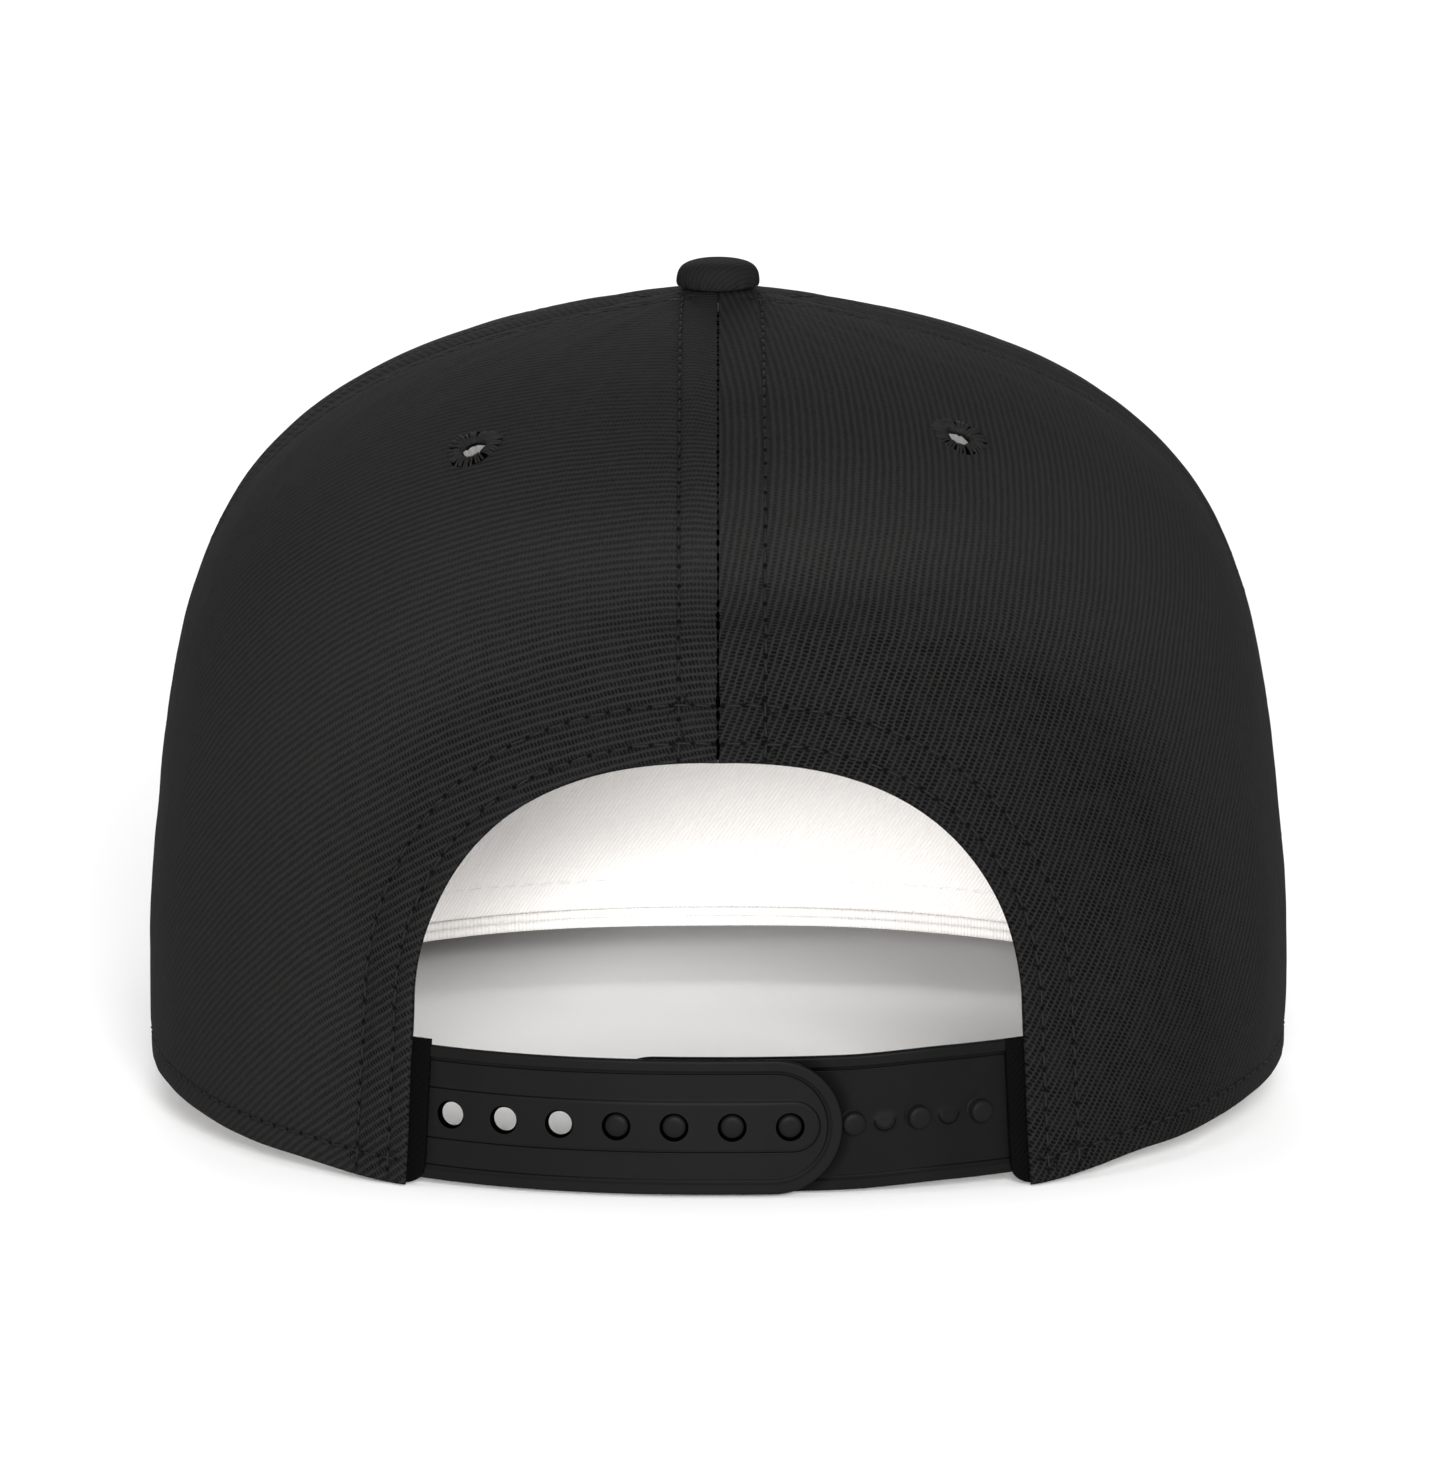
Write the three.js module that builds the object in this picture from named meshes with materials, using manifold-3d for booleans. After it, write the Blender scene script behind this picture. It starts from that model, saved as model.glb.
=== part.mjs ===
// A snapback cap: five cloth panels, covered button, four sewn eyelets, peak, sweatband and a two-part snap strap.
// Millimetres, +Z up. The peak points to -Y, the strap to +Y and the wearer's left is +X.
// The cap stands on Z = 0 on the peak's edge and the rear corners of the rim, over the middle of its box.

import * as THREE from 'three';
import { mergeVertices } from 'three/addons/utils/BufferGeometryUtils.js';
import Module from 'manifold-3d';

// Clearances
const GAP = 0.3;
const HOLE_CLEARANCE = 0.3;

// Crown
const CROWN_HEIGHT = 121;
const HALF_WIDTH = 89.4;
const FRONT_REACH = 94;
const BACK_REACH = 100;
const CLOTH = 1.3;
const FRONT_SEAM_ANGLE = 50;
const SIDE_SEAM_ANGLE = 91;
const SEAM_DEPTH = 0.7;
const SEAM_SPREAD = 5;

// Half-moon opening at the back
const ARCH_HALF_WIDTH = 45.6;
const ARCH_FOOT_HALF_WIDTH = 46.8;
const ARCH_SPRING_HEIGHT = 21.7;
const ARCH_TOP_HEIGHT = 64.7;
const ARCH_POWER = 2.37;

// Covered button
const BUTTON_DIAMETER = 12.8;
const BUTTON_HEIGHT = 4.3;
const SHANK_DIAMETER = 1.8;
const SHANK_LENGTH = 3;

// Sewn eyelets
const EYELET_DIAMETER = 8.8;
const EYELET_BORE = 3;
const EYELET_SLEEVE = 0.6;
const EYELET_RISE = 0.6;
const EYELET_SAG = 0.12;

// Peak
const PEAK_ANGLE = 68;
const PEAK_LENGTH = 70;
const PEAK_FLARE = 17;
const PEAK_SHOULDER = 74;
const PEAK_NOSE = 70;
const PEAK_THICKNESS = 3.2;
const PEAK_DIP_ANGLE = 8;
const PEAK_BOW = 7;

// Sweatband
const BAND_HEIGHT = 32;
const BAND_THICKNESS = 1.1;
const BAND_RISE = 0.8;
const BAND_END_MARGIN = 4;
const BAND_EASE_ANGLE = 30;

// Snap strap
const STRAP_WIDTH = 20.4;
const STRAP_THICKNESS = 1.3;
const STRAP_FOOT = 0.5;
const STRAP_RIM_WIDTH = 2;
const STRAP_RIM_RISE = 0.5;
const STRAP_ANCHOR = 12;
const STRAP_PITCH = 8.6;
const HOLE_DIAMETER = 4.2;
const PEG_DIAMETER = 3.4;
const PEG_STANDOUT = 1.6;
const FIRST_JOINT = -10.7;
const JOINED_PEGS = 4;
const FREE_HOLES = 3;
const FREE_PEGS = 3;
const FREE_PEG_PITCH = 9.7;
const HOLED_TIP_MARGIN = 7.8;
const PEGGED_TIP_MARGIN = 4.6;
const PEGGED_END_RISE = 0.9;
const STRAP_EASE_LENGTH = 16;

// Horizontal sections of the crown from the rim to the top, as shares of its height, half-width and reaches
const SECTIONS = [
  { height: 0.0, width: 0.997, front: 1.0, back: 1.0, power: 2.25 },
  { height: 0.18, width: 0.998, front: 1.0, back: 0.992, power: 2.25 },
  { height: 0.342, width: 0.98, front: 0.988, back: 0.972, power: 2.22 },
  { height: 0.48, width: 0.957, front: 0.962, back: 0.94, power: 2.2 },
  { height: 0.6, width: 0.921, front: 0.918, back: 0.893, power: 2.18 },
  { height: 0.71, width: 0.856, front: 0.852, back: 0.823, power: 2.15 },
  { height: 0.8, width: 0.756, front: 0.725, back: 0.727, power: 2.1 },
  { height: 0.87, width: 0.624, front: 0.575, back: 0.606, power: 2.06 },
  { height: 0.923, width: 0.46, front: 0.415, back: 0.46, power: 2.03 },
  { height: 0.962, width: 0.275, front: 0.245, back: 0.28, power: 2.0 },
  { height: 0.988, width: 0.098, front: 0.088, back: 0.1, power: 2.0 },
  { height: 1.0, width: 0.0, front: 0.0, back: 0.0, power: 2.0 },
];

// Lift of the rim by degrees from the front, on the wearer's left and right, as shares of the crown height
const RIM = [
  { angle: 0, left: 0, right: 0 },
  { angle: 60, left: 0, right: 0 },
  { angle: 90, left: 0.01, right: 0.016 },
  { angle: 118, left: 0.013, right: 0.024 },
  { angle: 138, left: 0.006, right: 0.014 },
  { angle: 152, left: -0.003, right: -0.003 },
  { angle: 180, left: -0.003, right: -0.003 },
];

// Soft folds: place, half-size round and up the crown (degrees, share of height), depth as a share of its height
const FOLDS = [
  { angle: -168, height: 0.86, round: 16, up: 0.035, depth: 0.009 },
  { angle: 180, height: 0.8, round: 24, up: 0.04, depth: 0.007 },
  { angle: -170, height: 0.735, round: 20, up: 0.035, depth: -0.012 },
  { angle: 178, height: 0.665, round: 26, up: 0.035, depth: 0.009 },
  { angle: 180, height: 0.6, round: 22, up: 0.03, depth: -0.008 },
  { angle: -152, height: 0.5, round: 14, up: 0.12, depth: -0.008 },
  { angle: -118, height: 0.16, round: 8, up: 0.16, depth: 0.009 },
  { angle: 150, height: 0.42, round: 12, up: 0.1, depth: -0.005 },
  { angle: -134, height: 0.2, round: 7, up: 0.16, depth: 0.006 },
];

// Eyelets: degrees from the front and share of the crown height
const EYELETS = [
  { name: 'eyelet_side_left', angle: 66, height: 0.75 },
  { name: 'eyelet_side_right', angle: -66, height: 0.75 },
  { name: 'eyelet_back_left', angle: 143.5, height: 0.858 },
  { name: 'eyelet_back_right', angle: -142.5, height: 0.868 },
];

// The button's outer face from its edge to its middle, as shares of its radius and height
const BUTTON_DOME = [
  { out: 0.94, up: 0 },
  { out: 1, up: 0.25 },
  { out: 0.97, up: 0.52 },
  { out: 0.84, up: 0.8 },
  { out: 0.55, up: 0.95 },
  { out: 0, up: 1 },
];

const COLORS = { cloth: 0x1b1b1c, thread: 0x202021, band: 0xcdcac2, plastic: 0x1d1d1e };

const wasm = await Module();
wasm.setup();

const degrees = THREE.MathUtils.degToRad;
const smooth = (value) => THREE.MathUtils.smoothstep(value, 0, 1);
const mix = THREE.MathUtils.lerp;

function closest(target, low, high, rising) {
  for (let step = 0; step < 50; step += 1) {
    const middle = (low + high) / 2;
    if (rising(middle) < target) {
      low = middle;
    } else {
      high = middle;
    }
  }
  return (low + high) / 2;
}

// A column of the section table at a place between its rows, by a Catmull-Rom curve
function section(place, column) {
  const last = SECTIONS.length - 1;
  const row = Math.min(Math.floor(place), last - 1);
  const at = (index) => SECTIONS[THREE.MathUtils.clamp(index, 0, last)][column];
  const share = place - row;
  const before = (at(row + 1) - at(row - 1)) / 2;
  const after = (at(row + 2) - at(row)) / 2;
  const squared = share * share;
  const cubed = squared * share;
  return (
    (2 * cubed - 3 * squared + 1) * at(row) +
    (cubed - 2 * squared + share) * before +
    (3 * squared - 2 * cubed) * at(row + 1) +
    (cubed - squared) * after
  );
}

const placeAtHeight = (share) => closest(share, 0, SECTIONS.length - 1, (place) => section(place, 'height'));

function rimLift(angle) {
  const side = angle > 0 ? 'left' : 'right';
  const turn = Math.abs(angle);
  const next = Math.max(1, RIM.findIndex((row) => row.angle >= turn));
  const from = RIM[next - 1];
  const to = RIM[next];
  const share = smooth((turn - from.angle) / (to.angle - from.angle));
  return CROWN_HEIGHT * mix(from[side], to[side], share);
}

// Distance from the vertical axis to the crown's plain outer face
function radius(angle, place) {
  const turn = degrees(angle);
  const power = section(place, 'power');
  const reach = Math.cos(turn) > 0 ? FRONT_REACH * section(place, 'front') : BACK_REACH * section(place, 'back');
  const width = HALF_WIDTH * section(place, 'width');
  const across = Math.abs(Math.sin(turn) / width) ** power;
  const along = Math.abs(Math.cos(turn) / reach) ** power;
  return (across + along) ** (-1 / power);
}

function plainPoint(angle, place) {
  const share = section(place, 'height');
  const turn = degrees(angle);
  const distance = radius(angle, place);
  const height = CROWN_HEIGHT * share + rimLift(angle) * (1 - share) ** 2;
  return new THREE.Vector3(distance * Math.sin(turn), -distance * Math.cos(turn), height);
}

function normalAt(angle, place) {
  const turnStep = 0.5;
  const placeStep = 0.02;
  const low = Math.max(place - placeStep, 0);
  const round = plainPoint(angle + turnStep, place).sub(plainPoint(angle - turnStep, place));
  const up = plainPoint(angle, place + placeStep).sub(plainPoint(angle, low));
  return round.cross(up).normalize();
}

const turnBetween = (a, b) => Math.abs(((a - b + 540) % 360) - 180);
const bell = (value) => Math.exp(-value * value);

// How far folds and seams move the cloth out of the plain crown
function relief(angle, place) {
  const share = section(place, 'height');
  const distance = radius(angle, place);
  let out = 0;
  for (const fold of FOLDS) {
    const round = turnBetween(angle, fold.angle) / fold.round;
    out += CROWN_HEIGHT * fold.depth * bell(round) * bell((share - fold.height) / fold.up);
  }
  const seams = [FRONT_SEAM_ANGLE, SIDE_SEAM_ANGLE, 180, -SIDE_SEAM_ANGLE, -FRONT_SEAM_ANGLE];
  const nearest = Math.min(...seams.map((seam) => degrees(turnBetween(angle, seam)) * distance));
  const fade = Math.min(1, distance / (4 * SEAM_SPREAD));
  return out - SEAM_DEPTH * fade * bell(nearest / SEAM_SPREAD);
}

// A point a given depth inside the crown's outer face
function crownPoint(angle, place, depth = 0) {
  return plainPoint(angle, place).addScaledVector(normalAt(angle, place), relief(angle, place) - depth);
}

// A point a given depth inside the rim, at a height above it, on an upright wall without folds
function wallPoint(angle, depth, height) {
  const low = plainPoint(angle, 0);
  const outward = normalAt(angle, 0).setZ(0).normalize();
  const place = placeAtHeight(height / CROWN_HEIGHT);
  const lean = radius(angle, 0) - radius(angle, place);
  low.addScaledVector(outward, -depth - Math.max(lean, 0));
  return low.setZ(low.z + height);
}

// A closed body between two sheets of points, laid out in rows and columns, where only some cells may be present
function shell(rows, columns, outer, inner, present = () => true) {
  const positions = [];
  const outside = [];
  const inside = [];
  for (let row = 0; row <= rows; row += 1) {
    outside.push([]);
    inside.push([]);
    for (let column = 0; column <= columns; column += 1) {
      outside[row].push(outer(row, column));
      inside[row].push(inner(row, column));
    }
  }
  const triangle = (...corners) => corners.forEach((corner) => positions.push(corner.x, corner.y, corner.z));
  const filled = (row, column) =>
    row >= 0 && row < rows && column >= 0 && column < columns && present(row, column);
  for (let row = 0; row < rows; row += 1) {
    for (let column = 0; column < columns; column += 1) {
      if (!filled(row, column)) {
        continue;
      }
      const ring = [
        [row, column],
        [row, column + 1],
        [row + 1, column + 1],
        [row + 1, column],
      ];
      const beyond = [
        [row - 1, column],
        [row, column + 1],
        [row + 1, column],
        [row, column - 1],
      ];
      const [a, b, c, d] = ring.map(([r, k]) => outside[r][k]);
      const [e, f, g, h] = ring.map(([r, k]) => inside[r][k]);
      triangle(a, b, c);
      triangle(a, c, d);
      triangle(g, f, e);
      triangle(h, g, e);
      for (let side = 0; side < 4; side += 1) {
        if (!filled(...beyond[side])) {
          const [r0, k0] = ring[side];
          const [r1, k1] = ring[(side + 1) % 4];
          triangle(outside[r1][k1], outside[r0][k0], inside[r0][k0]);
          triangle(outside[r1][k1], inside[r0][k0], inside[r1][k1]);
        }
      }
    }
  }
  return geometryOf(positions);
}

function geometryOf(positions) {
  const geometry = new THREE.BufferGeometry();
  geometry.setAttribute('position', new THREE.Float32BufferAttribute(positions, 3));
  geometry.computeVertexNormals();
  return geometry;
}

function toSolid(geometry) {
  const bare = geometry.clone();
  bare.deleteAttribute('normal');
  bare.deleteAttribute('uv');
  const merged = mergeVertices(bare, 1e-4);
  const vertProperties = new Float32Array(merged.attributes.position.array);
  const triVerts = new Uint32Array(merged.index.array);
  return new wasm.Manifold(new wasm.Mesh({ numProp: 3, vertProperties, triVerts }));
}

function toGeometry(solid) {
  const mesh = solid.getMesh();
  const geometry = new THREE.BufferGeometry();
  geometry.setAttribute('position', new THREE.Float32BufferAttribute(mesh.vertProperties, 3));
  geometry.setIndex([...mesh.triVerts]);
  geometry.computeVertexNormals();
  return geometry;
}

// Turns a geometry made along +Z to point along a direction, and moves it to a point
function aimed(geometry, point, direction) {
  const turn = new THREE.Quaternion().setFromUnitVectors(new THREE.Vector3(0, 0, 1), direction);
  return geometry.applyQuaternion(turn).translate(point.x, point.y, point.z);
}

function cylinder(diameter, low, high, sides) {
  const geometry = new THREE.CylinderGeometry(diameter / 2, diameter / 2, high - low, sides);
  return geometry.rotateX(Math.PI / 2).translate(0, 0, (low + high) / 2);
}

// Degrees by which a panel's edge stands back from the middle of its seam
const seamTurn = (angle, place) => THREE.MathUtils.radToDeg(Math.asin(GAP / 2 / radius(angle, place)));

const PANEL_ROWS = 15;
const FOOT_ROWS = 3;

// The panels end just short of the button's shank
const placeAtRadius = (angle, distance) =>
  closest(-distance, 0, SECTIONS.length - 1 - 1e-3, (place) => -radius(angle, place));
const TOP_PLACE = placeAtRadius(90, SHANK_DIAMETER / 2 + HOLE_CLEARANCE);
const rowPlace = (low, share) => mix(low, TOP_PLACE, share);

function plainPanel(from, to, columns) {
  const place = (row) => rowPlace(0, row / PANEL_ROWS);
  const angle = (row, column) => {
    const first = from + seamTurn(from, place(row));
    const last = to - seamTurn(to, place(row));
    return mix(first, last, column / columns);
  };
  return shell(
    PANEL_ROWS,
    columns,
    (row, column) => crownPoint(angle(row, column), place(row)),
    (row, column) => crownPoint(angle(row, column), place(row), CLOTH),
  );
}

const angleAtX = (x, place) => closest(-x, 90, 180, (angle) => -radius(angle, place) * Math.sin(degrees(angle)));

// The arch's edge from its spring (0) to the middle seam (1)
function archPoint(share) {
  const turn = (share * Math.PI) / 2;
  const rise = ARCH_TOP_HEIGHT - ARCH_SPRING_HEIGHT;
  const x = Math.max(ARCH_HALF_WIDTH * Math.cos(turn) ** (2 / ARCH_POWER), GAP / 2);
  const height = ARCH_SPRING_HEIGHT + rise * Math.sin(turn) ** (2 / ARCH_POWER);
  const place = placeAtHeight(height / CROWN_HEIGHT);
  return { angle: angleAtX(x, place), place };
}

// A back panel runs from the side seam to the arch's foot at full height, and over the arch to the middle seam
function backPanel(side) {
  const sideColumns = 8;
  const archColumns = 12;
  const columns = sideColumns + archColumns;
  const spring = placeAtHeight(ARCH_SPRING_HEIGHT / CROWN_HEIGHT);
  const springAngle = angleAtX(ARCH_HALF_WIDTH, spring);
  const footShare = (row) => Math.min(row / FOOT_ROWS, 1);
  const upperShare = (row) => Math.max(row - FOOT_ROWS, 0) / (PANEL_ROWS - FOOT_ROWS);
  const cell = (row, column) => {
    const upper = upperShare(row);
    if (column <= sideColumns) {
      const place = row < FOOT_ROWS ? spring * footShare(row) : rowPlace(spring, upper);
      const edgeX = mix(ARCH_FOOT_HALF_WIDTH, ARCH_HALF_WIDTH, footShare(row));
      const edge = row < FOOT_ROWS ? angleAtX(edgeX, place) : springAngle;
      const seam = SIDE_SEAM_ANGLE + seamTurn(SIDE_SEAM_ANGLE, place);
      return { angle: mix(seam, edge, column / sideColumns), place };
    }
    const share = (column - sideColumns) / archColumns;
    const low = archPoint(share);
    const place = rowPlace(low.place, upper);
    const high = mix(springAngle, 180, share);
    const last = 180 - seamTurn(180, place);
    return { angle: Math.min(mix(low.angle, high, smooth(upper * 1.5)), last), place };
  };
  const turned = (row, column) => (side > 0 ? cell(row, column) : cell(row, columns - column));
  const point = (depth) => (row, column) => {
    const { angle, place } = turned(row, column);
    return crownPoint(side * angle, place, depth);
  };
  const present = (row, column) => {
    const fromSeam = side > 0 ? column : columns - 1 - column;
    return row >= FOOT_ROWS || fromSeam < sideColumns;
  };
  return shell(PANEL_ROWS, columns, point(0), point(CLOTH), present);
}

function eyeletSeat({ angle, height }) {
  const place = placeAtHeight(height);
  return { point: crownPoint(angle, place), direction: normalAt(angle, place) };
}

// Cuts the holes of the eyelets that lie between two seams
function withEyeletHoles(geometry, from, to) {
  let solid = toSolid(geometry);
  const diameter = EYELET_BORE + 2 * EYELET_SLEEVE + 2 * HOLE_CLEARANCE;
  for (const eyelet of EYELETS.filter(({ angle }) => angle > from && angle < to)) {
    const { point, direction } = eyeletSeat(eyelet);
    solid = solid.subtract(toSolid(aimed(cylinder(diameter, -2 * CLOTH, CLOTH, 16), point, direction)));
  }
  return toGeometry(solid);
}

// A flat ring of thread on the cloth with a sleeve that lines the hole
function eyelet(seat) {
  const bore = EYELET_BORE / 2;
  const sleeve = bore + EYELET_SLEEVE;
  const rim = EYELET_DIAMETER / 2;
  const bed = GAP + EYELET_SAG;
  const profile = [
    [bore, -CLOTH],
    [sleeve, -CLOTH],
    [sleeve, bed],
    [rim, bed],
    [rim, bed + EYELET_RISE / 2],
    [(rim + sleeve) / 2, bed + EYELET_RISE],
    [bore, bed + EYELET_RISE / 2],
    [bore, -CLOTH],
  ].map(([x, y]) => new THREE.Vector2(x, y));
  const geometry = new THREE.LatheGeometry(profile, 16).rotateX(Math.PI / 2);
  return aimed(geometry, seat.point, seat.direction);
}

// A low dome, hollowed underneath to the crown's slope, on a shank that goes through the crown's top
function button() {
  const half = BUTTON_DIAMETER / 2;
  const top = CROWN_HEIGHT;
  const heightAt = (angle, distance) => plainPoint(angle, placeAtRadius(angle, distance)).z;
  const seat = (distance) => GAP + Math.max(...[0, 45, 90, 180].map((angle) => heightAt(angle, distance)));
  const edge = seat(half);
  const profile = [
    [0, top - SHANK_LENGTH],
    [SHANK_DIAMETER / 2, top - SHANK_LENGTH],
    [SHANK_DIAMETER / 2, seat(half / 4)],
    [(half * 2) / 3, seat((half * 2) / 3)],
    ...BUTTON_DOME.map(({ out, up }) => [half * out, edge + BUTTON_HEIGHT * up]),
  ].map(([x, y]) => new THREE.Vector2(x, y));
  return new THREE.LatheGeometry(profile, 24).rotateX(Math.PI / 2);
}

// The peak: a bowed plate from under the front rim to a rounded front edge
function peak() {
  const rows = 8;
  const columns = 28;
  const corner = plainPoint(PEAK_ANGLE, 0);
  const nose = -FRONT_REACH - PEAK_LENGTH;
  const outline = new THREE.CubicBezierCurve(
    new THREE.Vector2(corner.x, corner.y),
    new THREE.Vector2(corner.x + PEAK_FLARE, corner.y - PEAK_SHOULDER),
    new THREE.Vector2(PEAK_NOSE, nose),
    new THREE.Vector2(0, nose),
  );
  const point = (row, column) => {
    const across = (2 * column) / columns - 1;
    const inner = wallPoint(across * PEAK_ANGLE, CLOTH, 0);
    const edge = outline.getPoint(1 - Math.abs(across));
    const outer = new THREE.Vector3(Math.sign(across) * edge.x, edge.y, 0);
    const share = row / rows;
    const place = new THREE.Vector3(mix(inner.x, outer.x, share), mix(inner.y, outer.y, share), inner.z);
    const forward = Math.hypot(place.x - inner.x, place.y - inner.y);
    const dip = forward * Math.tan(degrees(PEAK_DIP_ANGLE));
    const bow = PEAK_BOW * (forward / PEAK_LENGTH) * (place.x / HALF_WIDTH) ** 2;
    place.z -= GAP + dip + bow;
    return place;
  };
  const under = (row, column) => {
    const place = point(row, column);
    return place.setZ(place.z - PEAK_THICKNESS);
  };
  return shell(rows, columns, (row, column) => point(rows - row, column), (row, column) => under(rows - row, column));
}

// Depths of the layers inside the cloth: the first is the band's, or the strap's where the band eases behind it
const FIRST_DEPTH = CLOTH + SEAM_DEPTH + GAP;
const SECOND_DEPTH = FIRST_DEPTH + STRAP_THICKNESS + GAP;

// The band lies on the cloth and eases inward near its ends to leave room for the strap's ends
function sweatband() {
  const rows = 2;
  const columns = 56;
  const end = angleAtX(ARCH_FOOT_HALF_WIDTH + BAND_END_MARGIN, 0);
  const point = (depth) => (row, column) => {
    const angle = mix(-end, end, column / columns);
    const ease = smooth((Math.abs(angle) - end + BAND_EASE_ANGLE) / (BAND_EASE_ANGLE / 2));
    const layer = mix(FIRST_DEPTH, SECOND_DEPTH, ease);
    return wallPoint(angle, layer + depth, BAND_RISE + (BAND_HEIGHT * row) / rows);
  };
  return shell(rows, columns, point(0), point(BAND_THICKNESS));
}

// The strap's route: distances along the back of the rim from the middle, positive to the wearer's left
function strapRoute(depth) {
  const steps = 240;
  const half = 90;
  const points = [];
  for (let step = -steps; step <= steps; step += 1) {
    const angle = 180 - (half * step) / steps;
    const point = wallPoint(angle > 180 ? angle - 360 : angle, depth, 0).setZ(0);
    points.push(point);
  }
  const lengths = [0];
  points.forEach((point, index) => {
    if (index > 0) {
      lengths.push(lengths[index - 1] + point.distanceTo(points[index - 1]));
    }
  });
  const middle = lengths[steps];
  return (distance) => {
    const index = Math.max(1, lengths.findIndex((length) => length - middle >= distance));
    const share = (distance + middle - lengths[index - 1]) / (lengths[index] - lengths[index - 1]);
    const point = points[index - 1].clone().lerp(points[index], share);
    const along = points[index].clone().sub(points[index - 1]).normalize();
    return { point, outward: new THREE.Vector3(-along.y, along.x, 0) };
  };
}

const ROUTE = strapRoute(FIRST_DEPTH);
const STRAP_MIDDLE = STRAP_FOOT + STRAP_WIDTH / 2;
const STRAP_END = STRAP_ANCHOR + closest(ARCH_FOOT_HALF_WIDTH, 0, HALF_WIDTH, (along) => ROUTE(along).point.x);
const LAST_JOINT = FIRST_JOINT + (JOINED_PEGS - 1) * STRAP_PITCH;
const TIP_RADIUS = STRAP_WIDTH / 2;
const HOLED_TIP = FIRST_JOINT - HOLED_TIP_MARGIN;
const PEGGED_TIP = LAST_JOINT + PEGGED_TIP_MARGIN;

// The pegged strap lies behind the holed one where they meet, and comes out and up a little toward its own end
function peggedShift(distance) {
  const share = smooth((HOLED_TIP - GAP - distance) / STRAP_EASE_LENGTH);
  return { depth: mix(SECOND_DEPTH - FIRST_DEPTH, 0, share), rise: mix(0, PEGGED_END_RISE, share) };
}

// A strap half from its hidden end to its round tip, with raised edges on the outer face
function strapPlate(end, tip, shiftAt) {
  const columns = 30;
  const tipColumns = 8;
  const bluntness = 0.97;
  const rimFoot = 0.85;
  const toTip = Math.sign(tip - end);
  const tipStart = tip - toTip * TIP_RADIUS;
  const steps = [];
  for (let step = 0; step <= columns; step += 1) {
    steps.push({ distance: mix(end, tipStart, step / columns), half: TIP_RADIUS });
  }
  for (let step = 1; step <= tipColumns; step += 1) {
    const turn = (step / tipColumns) * (Math.PI / 2) * bluntness;
    steps.push({ distance: tipStart + toTip * TIP_RADIUS * Math.sin(turn), half: TIP_RADIUS * Math.cos(turn) });
  }
  if (toTip > 0) {
    steps.reverse();
  }
  const edge = (half) => Math.min(STRAP_RIM_WIDTH, half / 3);
  const rail = [
    (half) => [-half, STRAP_RIM_RISE],
    (half) => [-half + edge(half) * rimFoot, STRAP_RIM_RISE],
    (half) => [-half + edge(half), 0],
    (half) => [half - edge(half), 0],
    (half) => [half - edge(half) * rimFoot, STRAP_RIM_RISE],
    (half) => [half, STRAP_RIM_RISE],
  ];
  const place = (row, column, face) => {
    const { distance, half } = steps[column];
    const [across, rise] = rail[row](half);
    const { point, outward } = ROUTE(distance);
    const shift = shiftAt(distance);
    const out = face > 0 ? rise - STRAP_RIM_RISE : -STRAP_THICKNESS;
    point.addScaledVector(outward, out - shift.depth);
    return point.setZ(STRAP_MIDDLE + shift.rise + across);
  };
  return shell(
    rail.length - 1,
    steps.length - 1,
    (row, column) => place(row, column, 1),
    (row, column) => place(row, column, -1),
  );
}

// A pin or a hole's cutter square to the strap, from one distance outside the route to another
function strapPin(distance, diameter, from, to, rise = 0) {
  const { point, outward } = ROUTE(distance);
  return toSolid(aimed(cylinder(diameter, from, to, 16), point.setZ(STRAP_MIDDLE + rise), outward));
}

const jointDistances = (first, count, pitch) => Array.from({ length: count }, (_, index) => first + index * pitch);

function holedStrap() {
  let solid = toSolid(strapPlate(STRAP_END, HOLED_TIP, () => ({ depth: 0, rise: 0 })));
  for (const distance of jointDistances(FIRST_JOINT, JOINED_PEGS + FREE_HOLES, STRAP_PITCH)) {
    solid = solid.subtract(strapPin(distance, HOLE_DIAMETER, -2 * STRAP_THICKNESS, STRAP_THICKNESS));
  }
  return toGeometry(solid);
}

function peggedStrap() {
  let solid = toSolid(strapPlate(-STRAP_END, PEGGED_TIP, peggedShift));
  const joined = jointDistances(FIRST_JOINT, JOINED_PEGS, STRAP_PITCH);
  const free = jointDistances(FIRST_JOINT - FREE_PEG_PITCH, FREE_PEGS, -FREE_PEG_PITCH);
  for (const distance of [...joined, ...free]) {
    const { depth, rise } = peggedShift(distance);
    const face = -depth - STRAP_RIM_RISE;
    solid = solid.add(strapPin(distance, PEG_DIAMETER, face - STRAP_THICKNESS / 4, face + PEG_STANDOUT, rise));
  }
  return toGeometry(solid);
}

const FINISHES = {
  cloth: new THREE.MeshStandardMaterial({ color: COLORS.cloth, roughness: 0.92, metalness: 0 }),
  thread: new THREE.MeshStandardMaterial({ color: COLORS.thread, roughness: 0.75, metalness: 0 }),
  band: new THREE.MeshStandardMaterial({ color: COLORS.band, roughness: 0.95, metalness: 0 }),
  plastic: new THREE.MeshStandardMaterial({ color: COLORS.plastic, roughness: 0.5, metalness: 0 }),
};

const cap = new THREE.Group();

function addPiece(name, geometry, finish) {
  const mesh = new THREE.Mesh(geometry, FINISHES[finish].clone());
  mesh.name = name;
  cap.add(mesh);
}

function sewnPanel(name, from, to, geometry) {
  addPiece(name, withEyeletHoles(geometry, from, to), 'cloth');
}

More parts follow.
